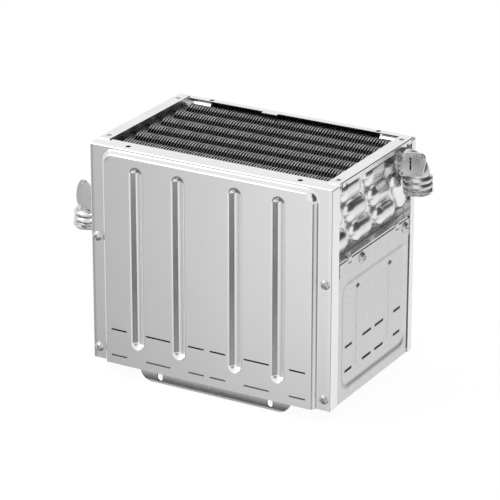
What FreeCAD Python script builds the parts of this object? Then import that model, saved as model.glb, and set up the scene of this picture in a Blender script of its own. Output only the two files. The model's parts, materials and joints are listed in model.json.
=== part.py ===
import FreeCAD, Part
import math
import os
import re
import Sketcher

# Combustion chamber of a gas water heater: a pressed sheet-metal casing that is open
# below, with a finned-tube heat exchanger in its open top.
# Frame: +Z up, +X to the water outlet, front at -Y. Origin on the standing surface
# under the middle of the casing. All lengths in millimetres.

doc = FreeCAD.newDocument("combustion_chamber")
sheet_obj = doc.addObject("Spreadsheet::Sheet", "Sizes")

CASING = {
    "box_w": 260, "box_d": 168, "box_h": 220, "skin": 1.0, "foot_drop": 14,
    "raise_h": 5, "raise_side": 14, "raise_top": 2.5, "raise_round": 13, "raise_slope": 4,
    "front_flange": 18, "front_return": 14, "back_flange": 8, "back_return": 8.5,
    "back_tab_w": 17, "back_tab_x": 23.5, "back_tab_out": 4,
    "bead_w": 12, "bead_deep": 4.4, "bead_far": 76.5, "bead_near": 30.5,
    "bead_low": 20, "bead_high": 204.5, "bead_taper": 28,
    "slot_h": 1.6, "slot_low": 9, "slot_rise": 26.8, "slot_short": 17.5, "slot_long": 27.5,
    "slot_a": 97.4, "slot_b": 53.8, "slot_c": 11.8,
    "screw_in": 6.7, "screw_low": 11.5, "screw_mid": 126.5, "screw_hole": 4.2,
    "hood_hole": 5.2, "hood_x": 92, "hood_in": 8.3, "back_hood_in": 4,
}
SIDES = {
    "side_h": 141, "side_flange": 12, "side_shift": 6.3,
    "field_w": 135, "field_low": 9, "field_high": 119, "field_round": 14,
    "field_deep": 2, "field_slope": 7,
    "groove_y": 32.8, "groove_w": 10.5, "groove_low": 20.5, "groove_high": 109.5,
    "groove_deep": 1.8,
    "vent_h": 2.4, "vent_low": 27.2, "vent_rise": 24.6, "vent_short": 14.6,
    "vent_long": 18.4, "vent_out": 49.8, "vent_in": 12.6,
    "side_screw_a": 22, "side_screw_b": 66.5, "side_screw_drop": 8, "side_hole": 4.4,
    "hook_a": 46, "hook_b": 50, "hook_w": 6.5, "hook_reach": 4,
}
HEADER = {
    "recess": 13, "rail_front": 69, "rail_back": 79, "rail_lip": 4, "lip_front": 65,
    "lip_back": 74, "tray_lip": 15,
    "rail_hole_x": 7, "rail_hole_front": 60, "rail_hole_back": 67,
    "cover_side": 1.2, "cover_low": 1.5, "cover_high": 3, "dome_h": 8, "dome_wide": 9.7,
    "dome_taper": 33, "dome_round": 5, "dome_wall": 1.5, "tab_reach": 24.5, "tab_h": 8,
    "notch_at": 8, "notch_w": 3.5, "notch_h": 2,
}
TUBES = {
    "tube_r": 7.5, "tube_wall": 0.8, "tube_pitch": 24, "row_pitch": 23.5,
    "row_drop": 15.5, "fit": 0.1, "row_count": 7,
    "fin_pitch": 5.2, "fin_thick": 0.4, "fin_count": 44, "fin_gap": 1.2,
    "fin_over": 11, "fin_scallop": 2.6, "fin_under": 11, "crest_half": 4.5,
    "valley_half": 3.5,
}
WATER = {
    "port_x": 144.5, "outlet_y": 60, "inlet_y": 65.5,
    "bend_r": 13, "neck_r": 11.4, "bore_r": 9, "bore_deep": 12, "inner_r": 6.5,
    "socket_low": 30.2, "socket_h": 17.2, "socket_r": 14, "bead_out": 0.2, "bead_dip": 1.1,
    "bead_mid": 11.3, "skirt_h": 4.9, "skirt_lip": 0.6, "bead_round": 3.9,
    "window_h": 3.2, "window_half": 9, "clip_wire": 1.2, "clip_gap": 0.25,
    "boss_r": 10.5, "boss_h": 6, "plate_thick": 1.2, "plate_sink": 0.9, "ear_r": 3.2,
    "ear_hole": 1.5, "rib_w": 1.6, "rib_deep": 0.8, "dimple_r": 0.9,
}
BASE = {
    "bracket_w": 165, "bracket_x": 3.5, "bracket_thick": 1.5, "bracket_up": 16, "bracket_round": 13,
    "oval_x": 60.5, "oval_w": 6, "oval_h": 9, "oval_up": 7, "small_hole": 3.4, "small_x": 34.5,
    "small_up": 11.2, "liner_low": 0, "liner_high": 138, "liner_skin": 1.0,
}
SCREWS = {
    "head_r": 4.7, "head_h": 2.6, "shank_r": 2.0, "shank_len": 6.5, "recess_w": 1.2,
    "recess_half": 2.6, "recess_deep": 1.2, "side_head_r": 5.6, "side_head_h": 3.0,
}

ALIASES = []


def put(rows):
    for alias, value in rows.items():
        cell = "B%d" % (len(ALIASES) + 1)
        sheet_obj.set("A%d" % (len(ALIASES) + 1), alias)
        sheet_obj.set(cell, str(value))
        sheet_obj.setAlias(cell, alias)
        ALIASES.append(alias)


for group in (CASING, SIDES, HEADER, TUBES, WATER, BASE, SCREWS):
    put(group)
doc.recompute()
WORD = re.compile(r"[a-z][a-z_]*")

# Levels and faces that several pieces share, written once in terms of the sizes.
SHARED = {
    "FRONT": "(box_d / 2)",
    "FACE": "(box_w / 2)",
    "TOP": "(foot_drop + box_h)",
    "INNER": "(box_d / 2 - skin)",
    "HEAD": "(box_w / 2 - recess)",
    "SHELF": "(foot_drop + side_h)",
    "ROWA": "(foot_drop + box_h - row_drop)",
    "ROWB": "(foot_drop + box_h - row_drop - row_pitch)",
    "ROWC": "(foot_drop + box_h - row_drop - 2 * row_pitch)",
}


def full(text):
    text = str(text)
    for word, meaning in SHARED.items():
        text = re.sub(r"\b%s\b" % word, meaning, text)
    return WORD.sub(lambda m: "Sizes." + m.group() if m.group() in ALIASES else m.group(), text)


def number(text):
    found = sheet_obj.evalExpression(full(text))
    return float(getattr(found, "Value", found))


def bind(obj, prop, text):
    obj.setExpression(prop, full(text))


# Sketch and feature helpers.
def new_body(label):
    body = doc.addObject("PartDesign::Body", label)
    body.Label = label
    return body


def new_sketch(body, plane, offset="0"):
    role = {"XY": "XY_Plane", "XZ": "XZ_Plane", "YZ": "YZ_Plane"}[plane]
    base = [f for f in body.Origin.OriginFeatures if f.Role == role][0]
    sketch = body.newObject("Sketcher::SketchObject", body.Label + "_sketch")
    sketch.AttachmentSupport = [(base, "")]
    sketch.MapMode = "FlatFace"
    bind(sketch, "AttachmentOffset.Base.z", offset)
    return sketch


def outline(sketch, points, arcs=None):
    # Closed outline through the points; arcs maps an edge to (centre x, centre y, turn).
    arcs = arcs or {}
    spots = [FreeCAD.Vector(number(x), number(y), 0) for x, y in points]
    shapes, ends = [], []
    first_geo = sketch.GeometryCount
    for i, start in enumerate(spots):
        stop = spots[(i + 1) % len(spots)]
        if i not in arcs:
            shapes.append(Part.LineSegment(start, stop))
            ends.append((first_geo + i, 1, 2))
            continue
        cx, cy, turn = arcs[i]
        centre = FreeCAD.Vector(number(cx), number(cy), 0)
        first, last = (start, stop) if turn > 0 else (stop, start)
        a0 = math.atan2(first.y - centre.y, first.x - centre.x)
        a1 = math.atan2(last.y - centre.y, last.x - centre.x)
        if a1 <= a0 + 1e-9:
            a1 += 2 * math.pi
        ring = Part.Circle(centre, FreeCAD.Vector(0, 0, 1), (start - centre).Length)
        shapes.append(Part.ArcOfCircle(ring, a0, a1))
        ends.append((first_geo + i, 1, 2) if turn > 0 else (first_geo + i, 2, 1))
    sketch.addGeometry(shapes, False)
    rules, texts = [], []
    for i, (geo, first, last) in enumerate(ends):
        after = ends[(i + 1) % len(ends)]
        rules.append(Sketcher.Constraint("Coincident", geo, last, after[0], after[1]))
        texts.append(None)
        rules.append(Sketcher.Constraint("DistanceX", geo, first, spots[i].x))
        texts.append(points[i][0])
        rules.append(Sketcher.Constraint("DistanceY", geo, first, spots[i].y))
        texts.append(points[i][1])
    for i, (cx, cy, turn) in arcs.items():
        chord = spots[(i + 1) % len(spots)] - spots[i]
        level = abs(chord.x) >= abs(chord.y)
        kind, text = ("DistanceY", cy) if level else ("DistanceX", cx)
        rules.append(Sketcher.Constraint(kind, ends[i][0], 3, number(text)))
        texts.append(text)
    constrain(sketch, rules, texts)


def constrain(sketch, rules, texts):
    start = sketch.ConstraintCount
    sketch.addConstraint(rules)
    for i, text in enumerate(texts):
        if text is not None:
            bind(sketch, "Constraints[%d]" % (start + i), text)


def rect(sketch, x0, x1, y0, y1):
    outline(sketch, [(x0, y0), (x1, y0), (x1, y1), (x0, y1)])


def circle(sketch, x, y, r):
    spot = FreeCAD.Vector(number(x), number(y), 0)
    geo = sketch.addGeometry(Part.Circle(spot, FreeCAD.Vector(0, 0, 1), number(r)), False)
    rules = [Sketcher.Constraint("DistanceX", geo, 3, spot.x),
             Sketcher.Constraint("DistanceY", geo, 3, spot.y),
             Sketcher.Constraint("Radius", geo, number(r))]
    constrain(sketch, rules, [x, y, r])


def tall_slot(sketch, x, low, high, half):
    outline(sketch,
            [("%s - %s" % (x, half), "%s + %s" % (low, half)),
             ("%s + %s" % (x, half), "%s + %s" % (low, half)),
             ("%s + %s" % (x, half), "%s - %s" % (high, half)),
             ("%s - %s" % (x, half), "%s - %s" % (high, half))],
            {0: (x, "%s + %s" % (low, half), 1), 2: (x, "%s - %s" % (high, half), 1)})


def wide_slot(sketch, left, right, y, half):
    outline(sketch,
            [("%s + %s" % (left, half), "%s - %s" % (y, half)),
             ("%s - %s" % (right, half), "%s - %s" % (y, half)),
             ("%s - %s" % (right, half), "%s + %s" % (y, half)),
             ("%s + %s" % (left, half), "%s + %s" % (y, half))],
            {1: ("%s - %s" % (right, half), y, 1), 3: ("%s + %s" % (left, half), y, 1)})


def round_rect(sketch, x0, x1, y0, y1, r):
    outline(sketch,
            [("%s + %s" % (x0, r), y0), ("%s - %s" % (x1, r), y0),
             (x1, "%s + %s" % (y0, r)), (x1, "%s - %s" % (y1, r)),
             ("%s - %s" % (x1, r), y1), ("%s + %s" % (x0, r), y1),
             (x0, "%s - %s" % (y1, r)), (x0, "%s + %s" % (y0, r))],
            {1: ("%s - %s" % (x1, r), "%s + %s" % (y0, r), 1),
             3: ("%s - %s" % (x1, r), "%s - %s" % (y1, r), 1),
             5: ("%s + %s" % (x0, r), "%s - %s" % (y1, r), 1),
             7: ("%s + %s" % (x0, r), "%s + %s" % (y0, r), 1)})


def arch(sketch, half, low, high, r):
    # Square at the foot, rounded at the two top corners.
    outline(sketch,
            [("-(%s)" % half, low), (half, low), (half, "%s - %s" % (high, r)),
             ("%s - %s" % (half, r), high), ("-(%s) + %s" % (half, r), high),
             ("-(%s)" % half, "%s - %s" % (high, r))],
            {2: ("%s - %s" % (half, r), "%s - %s" % (high, r), 1),
             4: ("-(%s) + %s" % (half, r), "%s - %s" % (high, r), 1)})


def grow(body, kind, sketch, length, back=False, taper=None, middle=False):
    before = body.Tip.Shape.Volume if body.Tip and body.Tip.Shape.Solids else 0.0
    feature = body.newObject("PartDesign::" + kind, body.Label + "_" + kind.lower())
    feature.Profile = sketch
    bind(feature, "Length", length)
    feature.Reversed = back
    if middle:
        feature.SideType = "Symmetric"
    if taper:
        bind(feature, "TaperAngle", taper)
    body.Tip = feature
    doc.recompute()
    after = feature.Shape.Volume
    if (kind == "Pad" and after <= before) or (kind == "Pocket" and after >= before):
        raise RuntimeError("%s in %s changed nothing" % (kind, body.Label))
    return feature


def pad(body, sketch, length, **more):
    return grow(body, "Pad", sketch, length, **more)


def pocket(body, sketch, length, **more):
    return grow(body, "Pocket", sketch, length, **more)


def loft(body, kind, first, second):
    feature = body.newObject("PartDesign::%sLoft" % kind, body.Label + "_loft")
    feature.Profile = first
    feature.Sections = [second]
    feature.Ruled = True
    body.Tip = feature
    doc.recompute()
    return feature


def revolve(body, sketch, axis=(0, 0, 1)):
    feature = body.newObject("PartDesign::Revolution", body.Label + "_revolution")
    feature.Profile = sketch
    feature.ReferenceAxis = (sketch, ["V_Axis"])
    feature.Angle = 360
    body.Tip = feature
    doc.recompute()
    return feature


def fillet(body, radius, wanted, flat=False):
    # Rounds the edges that wanted() picks, or cuts them flat at 45 degrees.
    base = body.Tip
    names = []
    for i, edge in enumerate(base.Shape.Edges):
        if wanted(edge):
            names.append("Edge%d" % (i + 1))
    if not names:
        raise RuntimeError("no edge to round in " + body.Label)
    kind, size = ("Chamfer", "Size") if flat else ("Fillet", "Radius")
    feature = body.newObject("PartDesign::" + kind, body.Label + "_edge")
    feature.Base = (base, names)
    bind(feature, size, radius)
    body.Tip = feature
    doc.recompute()
    return feature


def near(value, text):
    return abs(value - number(text)) < 0.01


def along(edge, axis, **fixed):
    # True for a straight edge along the axis whose other coordinates match.
    ends = [v.Point for v in edge.Vertexes]
    if len(ends) != 2:
        return False
    for name in "xyz":
        a, b = getattr(ends[0], name), getattr(ends[1], name)
        if name != axis and abs(a - b) > 0.001:
            return False
        if name in fixed and not near(a, fixed[name]):
            return False
    return (ends[0] - ends[1]).Length > 1.0


def half_turn(obj):
    obj.Placement = FreeCAD.Placement(FreeCAD.Vector(0, 0, 0), FreeCAD.Rotation(0, 0, 1, 0))


PARTS = []


# Front and back panels: a flat border with a pressed-out field, four pressed-in beads,
# two rows of air slots, a top flange and two side returns.
def casing_panel(label, flange, side_return, hole_in, turned):
    body = new_body(label)
    lap = "skin / 2"
    slab = new_sketch(body, "XZ", "FRONT")
    rect(slab, "-FACE", "FACE", "foot_drop", "TOP")
    pad(body, slab, "skin", back=True)
    low = new_sketch(body, "XZ", "FRONT")
    arch(low, "(FACE - raise_side)", "foot_drop", "(TOP - raise_top)", "raise_round")
    high = new_sketch(body, "XZ", "FRONT + raise_h")
    arch(high, "(FACE - raise_side - raise_slope)", "foot_drop",
         "(TOP - raise_top - raise_slope)", "(raise_round - raise_slope)")
    loft(body, "Additive", low, high)
    low = new_sketch(body, "XZ", "INNER")
    arch(low, "(FACE - raise_side - %s)" % lap, "(foot_drop - skin)",
         "(TOP - raise_top - %s)" % lap, "(raise_round - %s)" % lap)
    high = new_sketch(body, "XZ", "INNER + raise_h")
    arch(high, "(FACE - raise_side - raise_slope - %s)" % lap, "(foot_drop - skin)",
         "(TOP - raise_top - raise_slope - %s)" % lap, "(raise_round - raise_slope - %s)" % lap)
    loft(body, "Subtractive", low, high)
    backs = new_sketch(body, "XZ", "INNER + raise_h + %s" % lap)
    cuts = new_sketch(body, "XZ", "FRONT + raise_h")
    for x in ("-bead_far", "-bead_near", "bead_near", "bead_far"):
        span = ("(foot_drop + bead_low)", "(foot_drop + bead_high)")
        tall_slot(backs, x, span[0] + " - 0.8 * skin", span[1] + " + 0.8 * skin",
                  "(bead_w / 2 + 0.8 * skin)")
        tall_slot(cuts, x, span[0], span[1], "(bead_w / 2)")
    pad(body, backs, "bead_deep + %s" % lap, back=True, taper="-bead_taper")
    pocket(body, cuts, "bead_deep", taper="-bead_taper")
    slots = new_sketch(body, "XZ", "FRONT + raise_h")
    for level in ("(foot_drop + slot_low)", "(foot_drop + slot_low + slot_rise)"):
        for x, length in (("slot_a", "slot_short"), ("slot_b", "slot_long"), ("slot_c", "slot_short")):
            for sign in ("-", ""):
                mid = sign + x
                wide_slot(slots, "%s - %s / 2" % (mid, length), "%s + %s / 2" % (mid, length),
                          level, "(slot_h / 2)")
    pocket(body, slots, "raise_h")
    top = new_sketch(body, "XY", "TOP")
    rect(top, "-FACE", "FACE", "-FRONT", "-FRONT + %s" % flange)
    pad(body, top, "skin", back=True)
    if turned:
        tab = new_sketch(body, "XY", "TOP")
        rect(tab, "back_tab_x - back_tab_w / 2", "back_tab_x + back_tab_w / 2", "-FRONT + skin",
             "-FRONT + %s + back_tab_out" % flange)
        pad(body, tab, "skin", back=True)
    for side in ("-FACE", "FACE"):
        ear = new_sketch(body, "YZ", side)
        rect(ear, "-FRONT", "-FRONT + %s" % side_return, "foot_drop", "TOP")
        pad(body, ear, "skin", back=(side == "FACE"))
    if not turned:
        # Where the inlet pipe leaves the casing, the left return is cut back.
        notch = new_sketch(body, "YZ", "-FACE")
        rect(notch, "-(inlet_y + neck_r + 2 * fit)", "-FRONT + %s + skin" % side_return,
             "ROWC - neck_r - 2 * fit", "ROWC + neck_r + 2 * fit")
        pocket(body, notch, "skin", back=True)
    fillet(body, "skin", lambda e: along(e, "z", x="FACE", y="-FRONT")
           or along(e, "z", x="-FACE", y="-FRONT") or along(e, "x", y="-FRONT", z="TOP"))
    holes = new_sketch(body, "XZ", "FRONT")
    for x in ("-FACE + screw_in", "FACE - screw_in"):
        for z in ("foot_drop + screw_low", "foot_drop + screw_mid"):
            circle(holes, x, z, "screw_hole / 2")
    pocket(body, holes, "skin")
    holes = new_sketch(body, "XY", "TOP")
    for x in ("-hood_x", "hood_x"):
        circle(holes, x, "-FRONT + %s" % hole_in, "hood_hole / 2")
    pocket(body, holes, "skin")
    if turned:
        half_turn(body)
    PARTS.append(body)


casing_panel("front_panel", "front_flange", "front_return", "hood_in", False)
casing_panel("back_panel", "back_flange", "back_return", "back_hood_in", True)


# Places of the side screws along Y, for the right side and for the left one, which is
# modelled at +X and turned about Z, so its offsets along Y are reversed first.
SIDE_SCREW_Y = {False: ("-side_screw_a", "side_screw_b"), True: ("side_screw_a", "-side_screw_b")}


# Lower side panels: a shallow pressed field with two grooves and eight air slots, a
# return behind the front and back panels, and two hooks over the header's shelf.
def side_panel(label, turned):
    body = new_body(label)
    face = "FACE - skin"
    shift = "(-side_shift)" if turned else "side_shift"
    plate = new_sketch(body, "YZ", face)
    rect(plate, "-INNER", "INNER", "foot_drop", "SHELF")
    pad(body, plate, "skin", back=True)
    ends = ("(%s - field_w / 2)" % shift, "(%s + field_w / 2)" % shift)
    levels = ("(foot_drop + field_low)", "(foot_drop + field_high)")
    outer = new_sketch(body, "YZ", "%s - skin" % face)
    round_rect(outer, ends[0], ends[1], levels[0], levels[1], "field_round")
    inner = new_sketch(body, "YZ", "%s - skin - field_deep" % face)
    round_rect(inner, ends[0] + " + field_slope", ends[1] + " - field_slope",
               levels[0] + " + field_slope", levels[1] + " - field_slope",
               "(field_round - field_slope)")
    loft(body, "Additive", outer, inner)
    outer = new_sketch(body, "YZ", face)
    round_rect(outer, ends[0], ends[1], levels[0], levels[1], "field_round")
    inner = new_sketch(body, "YZ", "%s - field_deep" % face)
    round_rect(inner, ends[0] + " + field_slope", ends[1] + " - field_slope",
               levels[0] + " + field_slope", levels[1] + " - field_slope",
               "(field_round - field_slope)")
    loft(body, "Subtractive", outer, inner)
    ribs = new_sketch(body, "YZ", "%s - field_deep - skin / 2" % face)
    hollows = new_sketch(body, "YZ", "%s - field_deep - skin" % face)
    for y in ("(%s - groove_y)" % shift, "(%s + groove_y)" % shift):
        span = ("(foot_drop + groove_low)", "(foot_drop + groove_high)")
        tall_slot(ribs, y, span[0], span[1], "(groove_w / 2)")
        tall_slot(hollows, y, span[0] + " + skin", span[1] + " - skin", "(groove_w / 2 - skin)")
    pad(body, ribs, "groove_deep + skin / 2", taper="-bead_taper")
    pocket(body, hollows, "groove_deep", back=True, taper="-bead_taper")
    vents = new_sketch(body, "YZ", face)
    for level in ("(foot_drop + vent_low)", "(foot_drop + vent_low + vent_rise)"):
        for y, length in (("vent_out", "vent_short"), ("vent_in", "vent_long")):
            for sign in ("-", "+"):
                mid = "%s %s %s" % (shift, sign, y)
                wide_slot(vents, "%s - %s / 2" % (mid, length), "%s + %s / 2" % (mid, length),
                          level, "(vent_h / 2)")
    pocket(body, vents, "field_deep + skin * 2")
    for sign, back in (("", True), ("-", False)):
        turn = new_sketch(body, "XZ", sign + "INNER")
        rect(turn, "FACE - skin - side_flange", "FACE - skin", "foot_drop", "SHELF")
        pad(body, turn, "skin", back=back)
    fillet(body, "skin * 0.8", lambda e: along(e, "z", x="FACE - skin"))
    hooks = new_sketch(body, "YZ", face)
    tips = new_sketch(body, "XY", "SHELF + skin")
    for y in ("hook_a", "-hook_b") if turned else ("-hook_a", "hook_b"):
        span = ("%s - hook_w / 2" % y, "%s + hook_w / 2" % y)
        rect(hooks, span[0], span[1], "SHELF - skin", "SHELF + skin * 2")
        rect(tips, "FACE - skin - hook_reach", "FACE - skin * 1.5", span[0], span[1])
    pad(body, hooks, "skin", back=True)
    pad(body, tips, "skin")
    holes = new_sketch(body, "YZ", face)
    for y in SIDE_SCREW_Y[turned]:
        circle(holes, y, "SHELF - side_screw_drop", "side_hole / 2")
    pocket(body, holes, "skin")
    back_holes = new_sketch(body, "XZ", "INNER")
    for z in ("foot_drop + screw_low", "foot_drop + screw_mid"):
        circle(back_holes, "FACE - screw_in", z, "screw_hole / 2")
    pocket(body, back_holes, "box_d")
    if turned:
        half_turn(body)
    PARTS.append(body)


side_panel("right_side_panel", False)
side_panel("left_side_panel", True)


# Heads of the three tube rows, counted from the front. Rows A and C hold seven tubes
# and row B, staggered by half a pitch, holds six.
def tube_place(name):
    row, index = name[0], int(name[1])
    middle = 3.5 if row == "b" else 4
    return "(%g * tube_pitch)" % (index - middle), {"a": "ROWA", "b": "ROWB", "c": "ROWC"}[row]


TUBE_NAMES = ["a%d" % i for i in range(1, 8)]
TUBE_NAMES += ["b%d" % i for i in range(1, 7)]
TUBE_NAMES += ["c%d" % i for i in range(1, 8)]


# Header trays: the tube plate with a rail folded out at the top, a shelf folded out at
# the foot and walls behind the front and back panels.
def header_tray(label, turned):
    body = new_body(label)
    plate = new_sketch(body, "YZ", "HEAD")
    notch = "fit"
    front, back = "-FRONT + front_flange + %s" % notch, "FRONT - back_flange - back_tab_out"
    if turned:
        front, back = "-FRONT + back_flange + back_tab_out", "FRONT - front_flange - %s" % notch
    outline(plate, [("-INNER", "SHELF"), ("INNER", "SHELF"), ("INNER", "TOP - skin - fit"),
                    (back, "TOP - skin - fit"), (back, "TOP"), (front, "TOP"),
                    (front, "TOP - skin - fit"), ("-INNER", "TOP - skin - fit")])
    pad(body, plate, "skin")
    holes = new_sketch(body, "YZ", "HEAD")
    for name in TUBE_NAMES:
        y, z = tube_place(name)
        circle(holes, y, z, "tube_r + fit")
    pocket(body, holes, "skin", back=True)
    ends = ("-rail_front", "rail_back") if not turned else ("-rail_back", "rail_front")
    rail = new_sketch(body, "XY", "TOP")
    rect(rail, "HEAD", "FACE", ends[0], ends[1])
    pad(body, rail, "skin")
    ends = ("-lip_front", "lip_back") if not turned else ("-lip_back", "lip_front")
    lip = new_sketch(body, "YZ", "FACE")
    rect(lip, ends[0], ends[1], "TOP - rail_lip", "TOP + skin")
    pad(body, lip, "skin", back=True)
    shelf = new_sketch(body, "XY", "SHELF")
    rect(shelf, "HEAD", "FACE - 2 * skin", "-INNER", "INNER")
    pad(body, shelf, "skin")
    lip = new_sketch(body, "YZ", "FACE - 2 * skin")
    inset = "(INNER - skin - liner_skin - fit)"
    rect(lip, "-" + inset, inset, "SHELF - tray_lip", "SHELF + skin")
    pad(body, lip, "skin", back=True)
    for sign, back in (("", True), ("-", False)):
        wall = new_sketch(body, "XZ", sign + "INNER")
        rect(wall, "HEAD", "FACE - 2 * skin", "SHELF", "TOP - skin - fit")
        pad(body, wall, "skin", back=back)
    tab = new_sketch(body, "XZ", "INNER" if turned else "-INNER")
    rect(tab, "HEAD - tab_reach", "HEAD + skin", "TOP - skin - fit - tab_h", "TOP - skin - fit")
    pad(body, tab, "skin", back=turned)
    fillet(body, "skin", lambda e: along(e, "y", x="FACE", z="TOP + skin"))
    notches = new_sketch(body, "YZ", "FACE")
    for y in ("%s + notch_at" % ends[0], "%s - notch_at" % ends[1]):
        rect(notches, "%s - notch_w / 2" % y, "%s + notch_w / 2" % y, "TOP - rail_lip",
             "TOP - rail_lip + notch_h")
    pocket(body, notches, "skin")
    holes = new_sketch(body, "XY", "TOP + skin")
    spots = ("-rail_hole_front", "rail_hole_back")
    if turned:
        spots = ("-rail_hole_back", "rail_hole_front")
    for y in spots:
        circle(holes, "FACE - rail_hole_x", y, "hood_hole / 2")
    pocket(body, holes, "skin")
    holes = new_sketch(body, "YZ", "FACE - 2 * skin")
    for y in SIDE_SCREW_Y[turned]:
        circle(holes, y, "SHELF - side_screw_drop", "side_hole / 2")
    pocket(body, holes, "skin")
    if turned:
        half_turn(body)
    PARTS.append(body)


header_tray("right_header", False)
header_tray("left_header", True)


# Dome covers: a stamped sheet brazed over the tube plate. Each dome joins two tube
# ends; the round boss carries the water port.
def dome_outline(sketch, first, second, half, sign):
    (ya, za), (yb, zb) = tube_place(first), tube_place(second)
    ay, az = sign * number(ya), number(za)
    by, bz = sign * number(yb), number(zb)
    reach = math.hypot(by - ay, bz - az)
    ny, nz = -(bz - az) / reach, (by - ay) / reach
    ya, yb = ("-%s" % ya, "-%s" % yb) if sign < 0 else (ya, yb)
    outline(sketch,
            [("%s - %.6f * %s" % (ya, ny, half), "%s - %.6f * %s" % (za, nz, half)),
             ("%s - %.6f * %s" % (yb, ny, half), "%s - %.6f * %s" % (zb, nz, half)),
             ("%s + %.6f * %s" % (yb, ny, half), "%s + %.6f * %s" % (zb, nz, half)),
             ("%s + %.6f * %s" % (ya, ny, half), "%s + %.6f * %s" % (za, nz, half))],
            {1: (yb, zb, 1), 3: (ya, za, 1)})


def dome_cover(label, pairs, port_y, port_z, covered, turned):
    sign = -1 if turned else 1
    body = new_body(label)
    base = "HEAD + skin"
    plate = new_sketch(body, "YZ", base)
    round_rect(plate, "-INNER + cover_side", "INNER - cover_side", "SHELF + skin + cover_low",
               "TOP - cover_high", "raise_slope")
    pad(body, plate, "skin")
    domes = new_sketch(body, "YZ", base + " + skin")
    inside = new_sketch(body, "YZ", base)
    for first, second in pairs:
        dome_outline(domes, first, second, "dome_wide", sign)
        dome_outline(inside, first, second, "(dome_wide - 0.75 * dome_wall)", sign)
    pad(body, domes, "dome_h", taper="-dome_taper")
    level = number("HEAD + 2 * skin + dome_h")
    fillet(body, "dome_round", lambda e: all(abs(v.Point.x - level) < 0.01 for v in e.Vertexes))
    pocket(body, inside, "skin + dome_h - dome_wall", back=True, taper="-dome_taper")
    boss = new_sketch(body, "YZ", base + " + skin")
    circle(boss, port_y, port_z, "boss_r")
    pad(body, boss, "boss_h")
    throat = new_sketch(body, "YZ", base)
    circle(throat, port_y, port_z, "inner_r")
    pocket(body, throat, "boss_h + skin", back=True)
    if turned:
        half_turn(body)
    PARTS.append(body)


RIGHT_PAIRS = [("a2", "a3"), ("a4", "a5"), ("a1", "b1"), ("b2", "b3"), ("b4", "b5"),
               ("b6", "c7"), ("c1", "c2"), ("c3", "c4"), ("c5", "c6")]
LEFT_PAIRS = [("a1", "a2"), ("a3", "a4"), ("a5", "a6"), ("b1", "b2"), ("b3", "b4"),
              ("b5", "b6"), ("c2", "c3"), ("c4", "c5"), ("c6", "c7")]
dome_cover("right_dome_cover", RIGHT_PAIRS, "outlet_y", "ROWA", ("a6", "a7"), False)
dome_cover("left_dome_cover", LEFT_PAIRS, "inlet_y", "ROWC", ("c1",), True)


# Tubes: one length each, ends flush with the outer faces of the tube plates.
def tube(name):
    y, z = tube_place(name)
    shells = []
    for radius in ("tube_r", "tube_r - tube_wall"):
        rod = doc.addObject("Part::Cylinder", "rod_" + name)
        bind(rod, "Radius", radius)
        bind(rod, "Height", "2 * (HEAD + skin)")
        rod.Placement = FreeCAD.Placement(FreeCAD.Vector(0, 0, 0), FreeCAD.Rotation(FreeCAD.Vector(0, 1, 0), 90))
        bind(rod, "Placement.Base.x", "-(HEAD + skin)")
        bind(rod, "Placement.Base.y", y)
        bind(rod, "Placement.Base.z", z)
        shells.append(rod)
    made = doc.addObject("Part::Cut", "tube_" + name)
    made.Label = "tube_" + name
    made.Base, made.Tool = shells
    PARTS.append(made)


for tube_name in TUBE_NAMES:
    tube(tube_name)


# Fin pack: thin plates across the tubes. The top edge rises over each tube of row A and
# dips between them; one long slot clears each tube row.
fins = new_body("fin_pack")
fins.AllowCompound = True
fin = new_sketch(fins, "YZ", "-(fin_count - 1) * fin_pitch / 2 - fin_thick / 2")
crest, dip, foot = "(ROWA + fin_over)", "(ROWA + fin_over - fin_scallop)", "(ROWC - fin_under)"
edge = "(INNER - fin_gap)"
points = [("-%s" % edge, foot), (edge, foot)]
top_edge = [("-%s" % edge, dip)]
for i in range(1, 8):
    middle = "%g * tube_pitch" % (i - 4)
    top_edge.append(("%s - tube_pitch / 2 + valley_half" % middle, dip))
    top_edge.append(("%s - crest_half" % middle, crest))
    top_edge.append(("%s + crest_half" % middle, crest))
    top_edge.append(("%s + tube_pitch / 2 - valley_half" % middle, dip))
top_edge.append((edge, dip))
outline(fin, points + top_edge[::-1])
for level, reach in (("ROWA", 3), ("ROWB", 2.5), ("ROWC", 3)):
    half = "(%g * tube_pitch + tube_r + fit)" % reach
    rect(fin, "-%s" % half, half, "%s - tube_r - fit" % level, "%s + tube_r + fit" % level)
first_fin = pad(fins, fin, "fin_thick")
row = fins.newObject("PartDesign::LinearPattern", "fin_row")
row.Originals = [first_fin]
row.Direction = (fin, ["N_Axis"])
row.Mode = "Spacing"
bind(row, "Offset", "fin_pitch")
bind(row, "Occurrences", "fin_count")
fins.Tip = row
doc.recompute()
PARTS.append(fins)


# Water ports: a bent pipe on the dome cover's boss with a flat stay plate along its front,
# a beaded socket around the pipe's lower end and a wire clip in the socket's window.
# Corners of each stay plate, to the right of the socket's axis and up from the tube row.
PLATES = {
    "outlet": [(-4.1, 12.9), (8, 13.6), (13, 11), (13.7, 7), (10, -7.5), (7.5, -9.9), (-0.3, -12.4),
               (-7, -11.2), (-12.4, -9), (-12.3, 2), (-9.5, 9)],
    "inlet": [(-2.4, 20.4), (0.5, 19.6), (4.6, 15.1), (7, 5.5), (6.2, -3.6), (1.7, -6.8), (-8.5, -11.5),
              (-10.1, 14.8)],
}
EARS = {"outlet": (-10.9, -9.7), "inlet": (-7.4, -9.6)}
RIBS = {"outlet": (-2.5, -5.7, 9.7), "inlet": (-3, -4, 12)}
DIMPLES = {"outlet": (9.5, 9.6), "inlet": (-0.7, 16.4)}


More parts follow.
